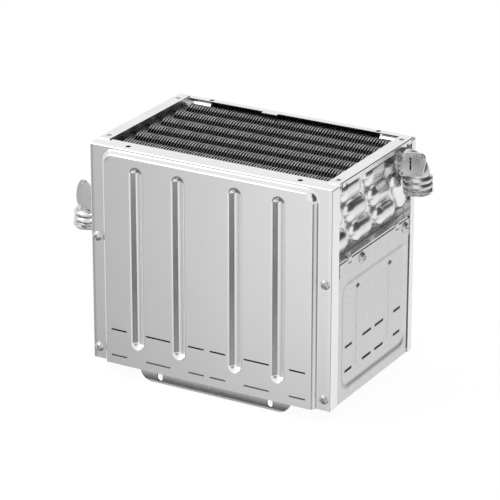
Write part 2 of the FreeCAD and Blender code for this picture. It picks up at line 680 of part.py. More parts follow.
def bent_pipe(body, kind, y, row_level, root, foot, radius):
    path = new_sketch(body, "XZ", "-%s" % y)
    turn_x, turn_z = "(port_x - bend_r)", "(%s - bend_r)" % row_level
    corners = [FreeCAD.Vector(number(a), number(b), 0) for a, b in
               ((root, row_level), (turn_x, row_level), ("port_x", turn_z), ("port_x", foot))]
    ring = Part.Circle(FreeCAD.Vector(number(turn_x), number(turn_z), 0), FreeCAD.Vector(0, 0, 1),
                       number("bend_r"))
    path.addGeometry([Part.LineSegment(corners[0], corners[1]),
                      Part.ArcOfCircle(ring, 0, math.pi / 2),
                      Part.LineSegment(corners[2], corners[3])], False)
    rules = [Sketcher.Constraint("DistanceX", 0, 1, corners[0].x),
             Sketcher.Constraint("DistanceY", 0, 1, corners[0].y),
             Sketcher.Constraint("DistanceX", 1, 3, number(turn_x)),
             Sketcher.Constraint("DistanceY", 1, 3, number(turn_z)),
             Sketcher.Constraint("DistanceY", 2, 2, corners[3].y),
             Sketcher.Constraint("Horizontal", 0), Sketcher.Constraint("Vertical", 2),
             Sketcher.Constraint("Tangent", 0, 2, 1, 2), Sketcher.Constraint("Tangent", 1, 1, 2, 1)]
    constrain(path, rules, [root, row_level, turn_x, turn_z, foot] + 4 * [None])
    ring = new_sketch(body, "YZ", root)
    circle(ring, y, row_level, radius)
    doc.recompute()
    pipe = body.newObject("PartDesign::%sPipe" % kind, body.Label + "_pipe")
    pipe.Profile = ring
    pipe.Spine = (path, ["Edge1", "Edge2", "Edge3"])
    body.Tip = pipe
    doc.recompute()


def port(side, y, row_level, turned):
    elbow = new_body(side + "_elbow")
    root = "(HEAD + 2 * skin + boss_h)"
    low = "(%s - socket_low)" % row_level
    foot = "(%s + clip_wire)" % low
    bent_pipe(elbow, "Additive", y, row_level, root, foot, "neck_r - fit")
    # The plate lies towards the front: before the half turn that is the far side.
    if turned:
        face, inward = "-(%s + neck_r - plate_sink)" % y, {"back": False}
    else:
        face, inward = "-(%s - neck_r + plate_sink)" % y, {"back": True}
    plate = new_sketch(elbow, "XZ", "%s %s plate_thick" % (face, "-" if turned else "+"))

    def spot(pair):
        return "port_x + (%g)" % pair[0], "%s + (%g)" % (row_level, pair[1])

    outline(plate, [spot(pair) for pair in PLATES[side]][::-1])
    pad(elbow, plate, "plate_thick", back=not turned)
    ear = new_sketch(elbow, "XZ", "%s %s plate_thick" % (face, "-" if turned else "+"))
    circle(ear, *spot(EARS[side]), "ear_r")
    pad(elbow, ear, "plate_thick", back=not turned)
    cuts = new_sketch(elbow, "XZ", "%s %s plate_thick" % (face, "-" if turned else "+"))
    rib_x, rib_low, rib_high = RIBS[side]
    tall_slot(cuts, "(port_x + (%g))" % rib_x, "(%s + (%g))" % (row_level, rib_low),
              "(%s + (%g))" % (row_level, rib_high), "(rib_w / 2)")
    circle(cuts, *spot(DIMPLES[side]), "dimple_r")
    pocket(elbow, cuts, "rib_deep", back=turned)
    hole = new_sketch(elbow, "XZ", "%s %s plate_thick" % (face, "-" if turned else "+"))
    circle(hole, *spot(EARS[side]), "ear_hole")
    pocket(elbow, hole, "plate_thick", back=turned)
    bent_pipe(elbow, "Subtractive", y, row_level, root, foot, "inner_r")
    bore = new_sketch(elbow, "XY", foot)
    circle(bore, "port_x", y, "bore_r")
    pocket(elbow, bore, "bore_deep", back=True)

    socket = new_body(side + "_socket")
    ring = new_sketch(socket, "XZ", "0")
    top, waist = "(%s + socket_h)" % low, "(%s + bead_mid)" % low
    dip, arc_x = "socket_r - bead_dip", "(socket_r + bead_out - bead_round)"
    outline(ring, [("neck_r", low), ("socket_r", low), ("socket_r", "%s + skirt_h - skirt_lip" % low),
                   (dip, "%s + skirt_h" % low), (dip, waist), (dip, top), ("neck_r", top)],
            {3: (arc_x, "(%s + skirt_h / 2 + bead_mid / 2)" % low, 1),
             4: (arc_x, "(%s / 2 + %s / 2)" % (waist, top), 1)})
    revolve(socket, ring)
    groove = new_sketch(socket, "XY", foot)
    for sign in ("-", ""):
        outline(groove, [("-window_half", sign + "(neck_r - 1)"), ("window_half", sign + "(neck_r - 1)"),
                         ("window_half", sign + "(socket_r + 1)"), ("-window_half", sign + "(socket_r + 1)")])
    pocket(socket, groove, "window_h", back=True)
    turn = FreeCAD.Rotation(FreeCAD.Vector(0, 0, 1), 40)
    if turned:
        turn = FreeCAD.Rotation(FreeCAD.Vector(0, 0, 1), 220)
    clip = new_body(side + "_clip")
    wire = new_sketch(clip, "XY", "%s + (window_h - clip_wire) / 2" % foot)
    leg, far = "(neck_r + fit)", "(neck_r + fit + clip_wire)"
    near_x = "sqrt((socket_r + clip_gap) ^ 2 - %s ^ 2)" % leg
    far_x = "sqrt((socket_r + clip_gap + clip_wire) ^ 2 - %s ^ 2)" % far
    tip = "-(window_half - 1)"
    outline(wire, [(tip, "-" + far), (far_x, "-" + far), (far_x, far), (tip, far),
                   (tip, leg), (near_x, leg), (near_x, "-" + leg), (tip, "-" + leg)],
            {1: ("0", "0", 1), 5: ("0", "0", -1)})
    pad(clip, wire, "clip_wire")
    sign = "-" if turned else ""
    for body in (socket, clip):
        body.Placement = FreeCAD.Placement(FreeCAD.Vector(0, 0, 0), turn)
        bind(body, "Placement.Base.x", "%sport_x" % sign)
        bind(body, "Placement.Base.y", "%s%s" % (sign, y))
    if turned:
        half_turn(elbow)
    for body in (elbow, socket, clip):
        PARTS.append(body)


port("outlet", "outlet_y", "ROWA", False)
port("inlet", "inlet_y", "ROWC", True)


# Liners inside the front and back panels, and the foot bracket welded behind each.
def liner(label, turned):
    body = new_body(label)
    plate = new_sketch(body, "XZ", "INNER - skin")
    rect(plate, "-(FACE - 2 * skin - fit)", "FACE - 2 * skin - fit", "foot_drop", "foot_drop + liner_high")
    for x, z in CASING_SPOTS:
        circle(plate, x, z, "screw_hole / 2")
    pad(body, plate, "liner_skin", back=True)
    if turned:
        half_turn(body)
    PARTS.append(body)


def bracket(label, turned):
    body = new_body(label)
    plate = new_sketch(body, "XZ", "INNER - skin - liner_skin")
    left, right = "(bracket_x - bracket_w / 2)", "(bracket_x + bracket_w / 2)"
    r = "bracket_round"
    outline(plate, [("%s + %s" % (left, r), "0"), ("%s - %s" % (right, r), "0"), (right, r),
                    (right, "foot_drop + bracket_up"), (left, "foot_drop + bracket_up"),
                    (left, r)],
            {1: ("%s - %s" % (right, r), r, 1), 5: ("%s + %s" % (left, r), r, 1)})
    pad(body, plate, "bracket_thick", back=True)
    holes = new_sketch(body, "XZ", "INNER - skin - liner_skin")
    for sign in ("-", "+"):
        tall_slot(holes, "(bracket_x %s oval_x)" % sign, "(oval_up - oval_h / 2)",
                  "(oval_up + oval_h / 2)", "(oval_w / 2)")
        circle(holes, "bracket_x %s small_x" % sign, "small_up", "small_hole / 2")
    pocket(body, holes, "bracket_thick")
    if turned:
        half_turn(body)
    PARTS.append(body)


def screws(label, plane, level, spots, turned, radius, height):
    body = new_body(label)
    body.AllowCompound = True
    heads = new_sketch(body, plane, level)
    shanks = new_sketch(body, plane, level)
    slots = new_sketch(body, plane, "%s + %s" % (level, height))
    for across, up in spots:
        circle(heads, across, up, radius)
        circle(shanks, across, up, "shank_r")
        rect(slots, "%s - recess_half" % across, "%s + recess_half" % across,
             "%s - recess_w / 2" % up, "%s + recess_w / 2" % up)
    pad(body, heads, height)
    top = number("%s + %s" % (level, height))
    axis = "x" if plane == "YZ" else "y"
    fillet(body, "%s * 0.5" % height, lambda e: all(
        abs(abs(getattr(v.Point, axis)) - top) < 0.01 for v in e.Vertexes), flat=True)
    pad(body, shanks, "shank_len", back=True)
    pocket(body, slots, "recess_deep")
    if turned:
        half_turn(body)
    PARTS.append(body)


CASING_SPOTS = [(x, z) for x in ("-(FACE - screw_in)", "(FACE - screw_in)")
                for z in ("(foot_drop + screw_low)", "(foot_drop + screw_mid)")]
SIDE_SPOTS = {side: [(y, "(SHELF - side_screw_drop)") for y in SIDE_SCREW_Y[side]]
              for side in (False, True)}
screws("front_screws", "XZ", "FRONT", CASING_SPOTS, False, "head_r", "head_h")
screws("back_screws", "XZ", "FRONT", CASING_SPOTS, True, "head_r", "head_h")
screws("right_screws", "YZ", "FACE - skin", SIDE_SPOTS[False], False, "side_head_r", "side_head_h")
screws("left_screws", "YZ", "FACE - skin", SIDE_SPOTS[True], True, "side_head_r", "side_head_h")
liner("front_liner", False)
liner("back_liner", True)
bracket("front_bracket", False)
bracket("back_bracket", True)

# Checks before anything is written.
doc.recompute()
for obj in doc.Objects:
    if "Invalid" in obj.State or "Error" in obj.State:
        raise RuntimeError("%s (%s) is in state %s" % (obj.Label, obj.Name, obj.State))
for obj in PARTS:
    if obj.Shape.isNull() or not obj.Shape.isValid():
        raise RuntimeError("%s has a bad shape" % obj.Label)
    several = obj.Label == "fin_pack" or obj.Label.endswith("_screws")
    if not several and len(obj.Shape.Solids) != 1:
        raise RuntimeError("%s has %d solids" % (obj.Label, len(obj.Shape.Solids)))

os.makedirs("parts", exist_ok=True)
for obj in PARTS:
    obj.Shape.exportStep("parts/%s.step" % obj.Label)
    print("%-18s %8.1f mm3" % (obj.Label, obj.Shape.Volume))
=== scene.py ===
import json
import math
import random

import bmesh
import bpy
import numpy as np
from mathutils import Matrix, Vector

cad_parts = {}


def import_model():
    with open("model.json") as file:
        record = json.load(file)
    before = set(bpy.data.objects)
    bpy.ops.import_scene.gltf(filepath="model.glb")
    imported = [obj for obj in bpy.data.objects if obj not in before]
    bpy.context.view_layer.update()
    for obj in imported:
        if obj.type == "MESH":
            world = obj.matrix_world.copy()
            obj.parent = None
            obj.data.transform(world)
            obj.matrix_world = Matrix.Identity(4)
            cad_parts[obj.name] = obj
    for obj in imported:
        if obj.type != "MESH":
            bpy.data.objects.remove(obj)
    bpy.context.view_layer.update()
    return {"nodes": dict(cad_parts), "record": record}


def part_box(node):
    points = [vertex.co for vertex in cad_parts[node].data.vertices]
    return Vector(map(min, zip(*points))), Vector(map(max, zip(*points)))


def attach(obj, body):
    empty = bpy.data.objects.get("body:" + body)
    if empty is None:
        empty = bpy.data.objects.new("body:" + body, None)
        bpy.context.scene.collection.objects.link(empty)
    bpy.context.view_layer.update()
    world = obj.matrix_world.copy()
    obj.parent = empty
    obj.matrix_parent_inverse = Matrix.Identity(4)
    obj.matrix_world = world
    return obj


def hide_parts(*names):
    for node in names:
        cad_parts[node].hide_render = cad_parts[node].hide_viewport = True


# Combustion chamber of a gas water heater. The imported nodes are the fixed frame; the casing
# panels, fins, dome covers, water elbows and screws are finer pieces in their places.
# Sheets, elbows, screws and tabs are laid out in millimetres and scaled by MM at the end;
# fins, domes, floor and light are in metres.
# A piece that is "turned" is the copy at the back or left, half a turn round the upright axis.
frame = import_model()
NODES = frame["nodes"]
MM = 0.001


def add_object(name, data):
    obj = bpy.data.objects.new(name, data)
    bpy.context.scene.collection.objects.link(obj)
    return obj


# Camera: a long lens set at the photograph's angle, aimed near the casing's middle.
CAMERA = {"azimuth": 29.555, "elevation": 21.673, "distance": 2.7017, "roll": 0.082,
          "target": (0.0, -0.00017, 0.12425), "focal_px": 2814.25, "shift_px": (3.127, 2.740),
          "clip_end": 50}
IMAGE_PX = 500
SENSOR = 36.0


def build_camera():
    az, el = math.radians(CAMERA["azimuth"]), math.radians(CAMERA["elevation"])
    back = Vector((math.sin(az) * math.cos(el), -math.cos(az) * math.cos(el), math.sin(el)))
    right = Vector((math.cos(az), math.sin(az), 0.0))
    up = back.cross(right)
    roll = math.radians(CAMERA["roll"])
    side = right * math.cos(roll) + up * math.sin(roll)
    top = back.cross(side)
    spot = Vector(CAMERA["target"]) + back * CAMERA["distance"]
    data = bpy.data.cameras.new("camera")
    data.sensor_width = SENSOR
    data.lens = CAMERA["focal_px"] / IMAGE_PX * SENSOR
    data.shift_x = -CAMERA["shift_px"][0] / IMAGE_PX
    data.shift_y = -CAMERA["shift_px"][1] / IMAGE_PX
    data.clip_end = CAMERA["clip_end"]
    cam = add_object("camera", data)
    axes = Matrix((side, top, back)).transposed().to_4x4()
    cam.matrix_world = Matrix.Translation(spot) @ axes
    bpy.context.scene.camera = cam


# Node helpers. An input is a number, a colour or another node's socket.
def fresh(name):
    mat = bpy.data.materials.new(name)
    mat.use_nodes = True
    mat.node_tree.nodes.clear()
    return mat, mat.node_tree.nodes, mat.node_tree.links


def feed(links, socket, value):
    if isinstance(value, bpy.types.NodeSocket):
        links.new(value, socket)
    else:
        socket.default_value = value


def compute(nodes, links, operation, *values):
    node = nodes.new("ShaderNodeMath")
    node.operation = operation
    for socket, value in zip(node.inputs, values):
        feed(links, socket, value)
    return node.outputs["Value"]


def map_range(nodes, links, value, source, target=(0.0, 1.0), kind="LINEAR"):
    node = nodes.new("ShaderNodeMapRange")
    node.interpolation_type = kind
    node.inputs["From Min"].default_value, node.inputs["From Max"].default_value = source
    node.inputs["To Min"].default_value, node.inputs["To Max"].default_value = target
    links.new(value, node.inputs["Value"])
    return node.outputs["Result"]


def mix_colours(nodes, links, factor, a, b, blend="MIX"):
    node = nodes.new("ShaderNodeMix")
    node.data_type = "RGBA"
    node.blend_type = blend
    for name, value in (("Factor", factor), ("A", a), ("B", b)):
        feed(links, node.inputs[name], value)
    return node.outputs["Result"]


def ramp(nodes, stops, interpolation):
    node = nodes.new("ShaderNodeValToRGB")
    node.color_ramp.interpolation = interpolation
    marks = node.color_ramp.elements
    while len(marks) < len(stops):
        marks.new(0.5)
    for mark, (place, value) in zip(marks, stops):
        mark.position = place
        rgb = value if isinstance(value, tuple) else (value, value, value)
        mark.color = (*rgb, 1.0)
    return node


def noise(nodes, links, coord, scale, detail, stretch=(1, 1, 1)):
    mapping = nodes.new("ShaderNodeMapping")
    mapping.inputs["Scale"].default_value = stretch
    links.new(coord, mapping.inputs["Vector"])
    node = nodes.new("ShaderNodeTexNoise")
    node.inputs["Scale"].default_value = scale
    node.inputs["Detail"].default_value = detail
    links.new(mapping.outputs["Vector"], node.inputs["Vector"])
    return node.outputs["Fac"]


BUMP_DEPTH = 0.1 * MM
NOISE_SUM = (0.7, 1.3)  # where nearly all of the two noises' sum lies
FLANK_TO_TOP = (0.2, 0.8)  # the normal's upward share, from upright faces to level ones


def metal(name, dark, light, rough, patch=60.0, grain=900.0, stretch=(1, 1, 1), bump=0.05,
          spread=0.25, metallic=1.0):
    """Sheet or cast metal: patches between two tones, roughness that follows the grain and a
    fine bump. rough is (least, most); patch and grain are noise scales per metre."""
    mat, nodes, links = fresh(name)
    coord = nodes.new("ShaderNodeTexCoord").outputs["Object"]
    shader = nodes.new("ShaderNodeBsdfPrincipled")
    shader.inputs["Metallic"].default_value = metallic
    broad = noise(nodes, links, coord, patch, 4.0)
    fine = noise(nodes, links, coord, grain, 2.0, stretch)
    tones = ramp(nodes, [(0.5 - spread, dark), (0.5 + spread, light)], "EASE")
    links.new(broad, tones.inputs["Fac"])
    links.new(tones.outputs["Color"], shader.inputs["Base Color"])
    both = compute(nodes, links, "ADD", broad, fine)
    links.new(map_range(nodes, links, both, NOISE_SUM, rough), shader.inputs["Roughness"])
    relief = nodes.new("ShaderNodeBump")
    relief.inputs["Strength"].default_value = bump
    relief.inputs["Distance"].default_value = BUMP_DEPTH
    links.new(fine, relief.inputs["Height"])
    links.new(relief.outputs["Normal"], shader.inputs["Normal"])
    out = nodes.new("ShaderNodeOutputMaterial")
    links.new(shader.outputs["BSDF"], out.inputs["Surface"])
    return mat


def painted_fin_shade(mat, heights, least, flank):
    """Darkens a material's colour below a height and on upright faces: painted shade where the
    fins' valleys and flanks get less light than their crests and level edges.
    """
    nodes, links = mat.node_tree.nodes, mat.node_tree.links
    shader = next(n for n in nodes if n.type == "BSDF_PRINCIPLED")
    coord = next(n for n in nodes if n.type == "TEX_COORD")
    colour = shader.inputs["Base Color"].links[0].from_socket
    for source, limits, dark in (("Object", heights, least),
                                 ("Normal", FLANK_TO_TOP, flank)):
        split = nodes.new("ShaderNodeSeparateXYZ")
        links.new(coord.outputs[source], split.inputs["Vector"])
        share = map_range(nodes, links, split.outputs["Z"], limits, (dark, 1.0))
        colour = mix_colours(nodes, links, 1.0, colour, share, "MULTIPLY")
    links.new(colour, shader.inputs["Base Color"])


def grey(level, tint=0.0):
    return (level * (1 - tint), level, level * (1 + tint))


MATERIALS = {
    "casing_steel": metal("casing_steel", grey(0.80, 0.006), grey(0.85, 0.006), (0.13, 0.16),
                          patch=6.0, grain=700.0, stretch=(1, 1, 0.25), bump=0.002),
    "zinc_steel": metal("zinc_steel", grey(0.66, 0.004), grey(0.74, 0.004), (0.30, 0.42),
                        patch=260.0, grain=900.0, bump=0.015, spread=0.2),
    "header_steel": metal("header_steel", grey(0.78), grey(0.86), (0.20, 0.32), patch=70.0,
                          grain=700.0, bump=0.006),
    "dome_steel": metal("dome_steel", grey(0.80), grey(0.88), (0.20, 0.27), patch=60.0,
                        grain=700.0, bump=0.006),
    "fin_sheet": metal("fin_sheet", grey(0.36, 0.01), grey(0.50, 0.01), (0.34, 0.46),
                       patch=160.0, grain=2500.0, bump=0.06, metallic=0.8),
    "tube_steel": metal("tube_steel", grey(0.30), grey(0.45), (0.3, 0.45), patch=120.0),
    "elbow_metal": metal("elbow_metal", grey(0.66), grey(0.78), (0.22, 0.30), patch=90.0,
                         grain=700.0, bump=0.02),
    "socket_metal": metal("socket_metal", grey(0.64), grey(0.74), (0.20, 0.30), patch=90.0,
                          grain=700.0, bump=0.015),
    "clip_wire": metal("clip_wire", grey(0.8), grey(0.88), (0.15, 0.25), patch=200.0),
    "screw_zinc": metal("screw_zinc", grey(0.58, 0.01), grey(0.72, 0.01), (0.18, 0.28),
                        patch=300.0, grain=900.0, bump=0.02),
}
# Painted shade on the fins: darker down in the valleys and on the upright flanks.
painted_fin_shade(MATERIALS["fin_sheet"], heights=(0.2240, 0.2290), least=0.14, flank=0.14)


def dress_nodes():
    for part in frame["record"]["subparts"]:
        for slot in NODES[part["node"]].material_slots:
            slot.material = MATERIALS[part["material_slot"]]


# Piece helpers.
def piece(name, verts, faces, slot, smooth=True, replaces=()):
    mesh = bpy.data.meshes.new(name)
    mesh.from_pydata([tuple(v) for v in verts], [], [tuple(f) for f in faces])
    mesh.validate()
    mesh.update()
    return finish_piece(add_object(name, mesh), slot, smooth, replaces)


def finish_piece(obj, slot, smooth=True, replaces=()):
    for poly in obj.data.polygons:
        poly.use_smooth = smooth
    obj.data.materials.append(MATERIALS[slot])
    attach(obj, "root")
    if replaces:
        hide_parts(*replaces)
    return obj


# Pressed sheets: a flat blank whose relief, holes and folds are followed by one fine grid.
# Across and up are the blank's own directions. A span of grid lines is (from, to, step).
SHEET = 0.9
LEAST_CELL = 0.12
HOLE_SNAP = 0.8
TINY = 1e-6
CREASE = math.radians(50)


def ease(u):
    u = np.clip(u, 0, 1)
    return u * u * (3 - 2 * u)


def lines(spans):
    marks = np.concatenate([np.linspace(a, b, max(2, int(round((b - a) / step)) + 1))
                            for a, b, step in spans])
    kept = []
    for mark in np.unique(np.round(marks, 4)):
        if not kept or mark - kept[-1] > LEAST_CELL:
            kept.append(mark)
    return np.array(kept)


def around(middle, reach, step):
    return middle - reach, middle + reach, step


def mirrored(near, far, step):
    return [(near, far, step), (-far, -near, step)]


def slot_ends(slots, step):
    return [around(end, r, step) for x, _, half, r in slots for end in (x - half, x + half)]


def bent(flat, edge, r):
    """Place along a blank that turns back by a quarter at edge: (place, depth, turn)."""
    over = np.clip(flat - (edge - r), 0, None)
    turn = np.clip(over / r, 0, math.pi / 2)
    run = np.clip(over - r * math.pi / 2, 0, None)
    return np.minimum(flat, edge - r) + r * np.sin(turn), r * (1 - np.cos(turn)) + run, turn


def folded(across, up, wide, high, r):
    """Bends the blank back at its sides and, above high - r, at its top.
    Gives places (across, up, depth) and outward normals for outer faces at wide and high."""
    sign = np.sign(across)
    place, depth, turn = bent(np.abs(across), wide, r)
    side = (sign * place, up, depth, sign * np.sin(turn), 0 * up, np.cos(turn))
    place, depth, turn = bent(up, high, r)
    top = (across, place, depth, 0 * up, np.sin(turn), np.cos(turn))
    flange = up > high - r + TINY
    return [np.where(flange, b, a) for a, b in zip(side, top)]


def pressed(name, slot, marks, relief, holes, cut, shape, place, replaces):
    """One sheet: marks are the grid's lines, holes are (across, up, half length, radius),
    relief and cut say how far each place is pressed out and where the blank ends."""
    across, up = np.meshgrid(*marks, indexing="ij")
    mid_a, mid_u = (across[:-1, :-1] + across[1:, 1:]) / 2, (up[:-1, :-1] + up[1:, 1:]) / 2
    gone = cut(mid_a, mid_u)
    for a, u, half, r in holes:
        gone |= np.hypot(np.maximum(np.abs(mid_a - a) - half, 0), mid_u - u) < r
    # Grid points between a cell that stays and one that goes move to the hole's true edge.
    beside = np.zeros((2,) + across.shape)
    for i in (0, 1):
        for j in (0, 1):
            spot = (slice(i, across.shape[0] - 1 + i), slice(j, across.shape[1] - 1 + j))
            beside[0][spot] += gone
            beside[1][spot] += ~gone
    rim = (beside[0] > 0) & (beside[1] > 0)
    for a, u, half, r in holes:
        core = a + np.clip(across - a, -half, half)
        away = np.hypot(across - core, up - u)
        snap = rim & (away < r + HOLE_SNAP) & (away > TINY)
        across = np.where(snap, core + (across - core) * r / np.maximum(away, TINY), across)
        up = np.where(snap, u + (up - u) * r / np.maximum(away, TINY), up)
    lift = relief(across, up)
    a, u, deep, na, nu, nout = folded(across, up, *shape)
    outer = np.stack([a + na * lift, u + nu * lift, deep - nout * lift], -1).reshape(-1, 3)
    inner = outer + np.stack([-na, -nu, nout], -1).reshape(-1, 3) * SHEET
    index = np.arange(across.size).reshape(across.shape)
    cells = np.stack([index[:-1, :-1], index[1:, :-1], index[1:, 1:], index[:-1, 1:]], -1)[~gone]
    edges = np.concatenate([cells[:, [k, (k + 1) % 4]] for k in range(4)])
    _, where, count = np.unique(np.sort(edges, 1), axis=0, return_index=True,
                                return_counts=True)
    first, last = edges[where[count == 1]].T
    n = across.size
    walls = np.stack([last, first, first + n, last + n], 1)
    faces = np.concatenate([cells, cells[:, ::-1] + n, walls])
    used, faces = np.unique(faces, return_inverse=True)
    verts = place(np.concatenate([outer, inner])[used]) * MM
    mesh = bpy.data.meshes.new(name)
    mesh.from_pydata(verts.tolist(), [], faces.reshape(-1, 4).tolist())
    bm = bmesh.new()
    bm.from_mesh(mesh)
    bmesh.ops.recalc_face_normals(bm, faces=bm.faces)
    bm.to_mesh(mesh)
    bm.free()
    finish_piece(add_object(name, mesh), slot, replaces=replaces)
    mesh.set_sharp_from_angle(angle=CREASE)


def rounded_in(a, u, half, low, high, r):
    """Distance inside a rounded rectangle."""
    qa = np.abs(a) - (half - r)
    qu = np.maximum(u - (high - r), (low + r) - u)
    return r - np.hypot(np.maximum(qa, 0), np.maximum(qu, 0)) - np.minimum(np.maximum(qa, qu), 0)


def capsule(a, u, mid, low, high):
    """Distance from an upright line."""
    return np.hypot(a - mid, u - np.clip(u, low, high))


# Front and back panels. Screws are (across, up), slots (across, length) on both sides. The
# raised field runs on past the lower edge, and at the top corners the flange and the
# returns are cut back a little from each other.
PANEL = {"face": 84.0, "half": 130.0, "foot": 14.0, "top": 234.0, "bend": 1.3, "lift": 5.0,
         "border": 14.0, "top_border": 2.5, "corner": 13.0, "slope": 4.8, "ease_in": 0.2,
         "field_low": -200.0, "flange_in": 0.3, "return_down": 0.45,
         "beads": (-76.5, -30.5, 30.5, 76.5), "bead_low": 34.0, "bead_high": 218.5,
         "bead_r": 6.0, "bead_deep": 4.4, "bead_core": 1.3, "bead_reach": 6.9,
         "slot_levels": (23.0, 49.8), "slots": ((97.4, 17.5), (53.8, 27.5), (11.8, 17.5)),
         "slot_r": 0.8, "screws": ((123.3, 25.5), (123.3, 140.5)), "screw_r": 2.1,
         "hood_x": 92.0, "hood_r": 2.6, "tab": (15.0, 32.0), "tab_out": 4.0,
         "port_y": 77.1, "port_z": 171.5, "port_half": 11.6,
         "nick_in": 0.4, "nick_half": 0.75, "nick_up": 3.6}


def casing_panel(node, flange, side_return, hole_in, turned, fine):
    """fine stretches the steps of the grid at the relief. The back panel has a tab in its
    flange, the front one a nick beside a screw and a gap for the inlet in its left return."""
    p = PANEL
    half, top, bend = p["half"], p["top"], p["bend"]
    fold = bend * math.pi / 2 - bend
    fold_from, fold_run = half - bend, bend * math.pi / 2
    top_end, side_end = top + flange + fold - bend, half + side_return + fold - bend
    tab_low, tab_high = p["tab"]
    hole_up = top + hole_in + fold - bend
    slots = [(sign * x, level, length / 2 - p["slot_r"], p["slot_r"])
             for x, length in p["slots"] for sign in (-1, 1) for level in p["slot_levels"]]
    holes = slots + [(sign * x, z, 0.0, p["screw_r"]) for x, z in p["screws"]
                     for sign in (-1, 1)]
    holes += [(sign * p["hood_x"], hole_up, 0.0, p["hood_r"]) for sign in (-1, 1)]
    inner = half - p["border"]
    port_reach = side_end - (p["port_y"] - (p["face"] - side_return))
    nick_level = p["screws"][1][1]

    # Coarse steps on flat sheet, fine ones at relief, holes and bends.
    spans = [(-inner + 6, inner - 6, 4.5)] + slot_ends(slots, 0.4)
    spans += [around(x, 8, 0.52 * fine) for x in p["beads"]]
    for near, far, step in ((half + 0.5, side_end, 6.5), (inner + 1, half - bend, 3.0),
                            (fold_from, fold_from + fold_run, 0.45 * fine),
                            (inner - 6, inner + 0.5, 0.5 * fine),
                            around(p["screws"][0][0], 2.4, 0.6 * fine),
                            around(p["hood_x"], 3.0, 0.65 * fine)):
        spans += mirrored(near, far, step)
    rows = [(p["foot"], top - 12, 7.0), (top - 9.5, top - 2.2, 0.5 * fine),
            (top - 2.2, top - bend - 0.4, 0.5), (top - bend, top - bend + fold_run, 0.45),
            (top + 1, top_end, 3.5), around(hole_up, 2.9, 0.65),
            (p["bead_low"] - 2, p["bead_low"] + 8, 0.55 * fine),
            (p["bead_high"] - 8, p["bead_high"] + 2, 0.55 * fine)]
    rows += [around(level, 1.2, 0.4) for level in p["slot_levels"]]
    rows += [around(z, 2.4, 0.6) for _, z in p["screws"]]
    if turned:
        spans.append((tab_low, tab_high, tab_high - tab_low))
        rows.append((top_end, top_end + p["tab_out"], p["tab_out"]))
    else:
        spans += [around(p["nick_in"] - inner, p["nick_half"], 0.5),
                  (-port_reach, -half - 0.5, 6.9)]
        rows.append(around(p["port_z"], p["port_half"], 5.8))

    def relief(a, u):
        inside = rounded_in(a, u, inner, p["field_low"], top - p["top_border"],
                            p["corner"])
        lift = p["lift"] * ease((inside + p["ease_in"]) / p["slope"])
        for mid in p["beads"]:
            away = capsule(a, u, mid, p["bead_low"] + p["bead_r"], p["bead_high"] - p["bead_r"])
            lift = lift - p["bead_deep"] * (1 - ease((away - p["bead_core"]) /
                                                     (p["bead_reach"] - p["bead_core"])))
        return lift

    def cut(a, u):
        on_flange = u > top - bend
        gone = on_flange & (np.abs(a) > half - p["flange_in"])
        gone |= ((np.abs(a) > half - bend) & (u > top - bend - p["return_down"])
                 & ~on_flange)
        if turned:
            return gone | (u > top_end) & ((a < tab_low) | (a > tab_high))
        gone |= (a < -port_reach) & (np.abs(u - p["port_z"]) < p["port_half"])
        return gone | ((np.abs(a + inner - p["nick_in"]) < p["nick_half"])
                       & (np.abs(u - nick_level) < p["nick_up"]))

    sign = -1.0 if turned else 1.0

    def place(v):
        return np.stack([sign * v[:, 0], -sign * (p["face"] - v[:, 2]), v[:, 1]], 1)

    pressed(node + "_pressed", "casing_steel", (lines(spans), lines(rows)), relief, holes,
            cut, (half, top, bend), place, [node])


# Lower side panels: a sunk field with two raised ribs and eight air slots, hooks over the
# header tray, and a slit, a notch and slots where the sheet is sheared.
SIDE = {"face": 129.0, "half": 83.0, "foot": 14.0, "top": 155.0, "hook_top": 157.0, "bend": 0.9,
        "return": 12.0, "shift": 6.3, "field_half": 67.5, "field_low": 23.0,
        "field_high": 133.0, "corner": 14.0, "slope": 6.0, "ease_in": 0.3, "deep": 2.0,
        "rib_y": 32.8, "rib_low": 34.5, "rib_high": 123.5, "rib_r": 5.25, "rib_tall": 1.8,
        "rib_core": 1.6, "rib_slope": 3.4,
        "vent_levels": (41.2, 65.8), "vents": ((49.8, 14.6), (12.6, 18.4)), "vent_r": 1.4,
        "slit_y": 74.4, "slit_half": 0.7, "slit_low": 20.0, "slit_drop": 16.0,
        "notch_y": -67.2, "notch_half": 0.9, "notch_drop": 13.0, "top_gap": 1.1,
        "screws": (-22.0, 66.5), "screw_drop": 8.0, "screw_r": 2.2,
        "hooks": (-46.0, 50.0), "hook_half": 3.25, "hook_reach": 4.0,
        "hook_slot_drop": 4.4, "hook_slot_half": 0.7}


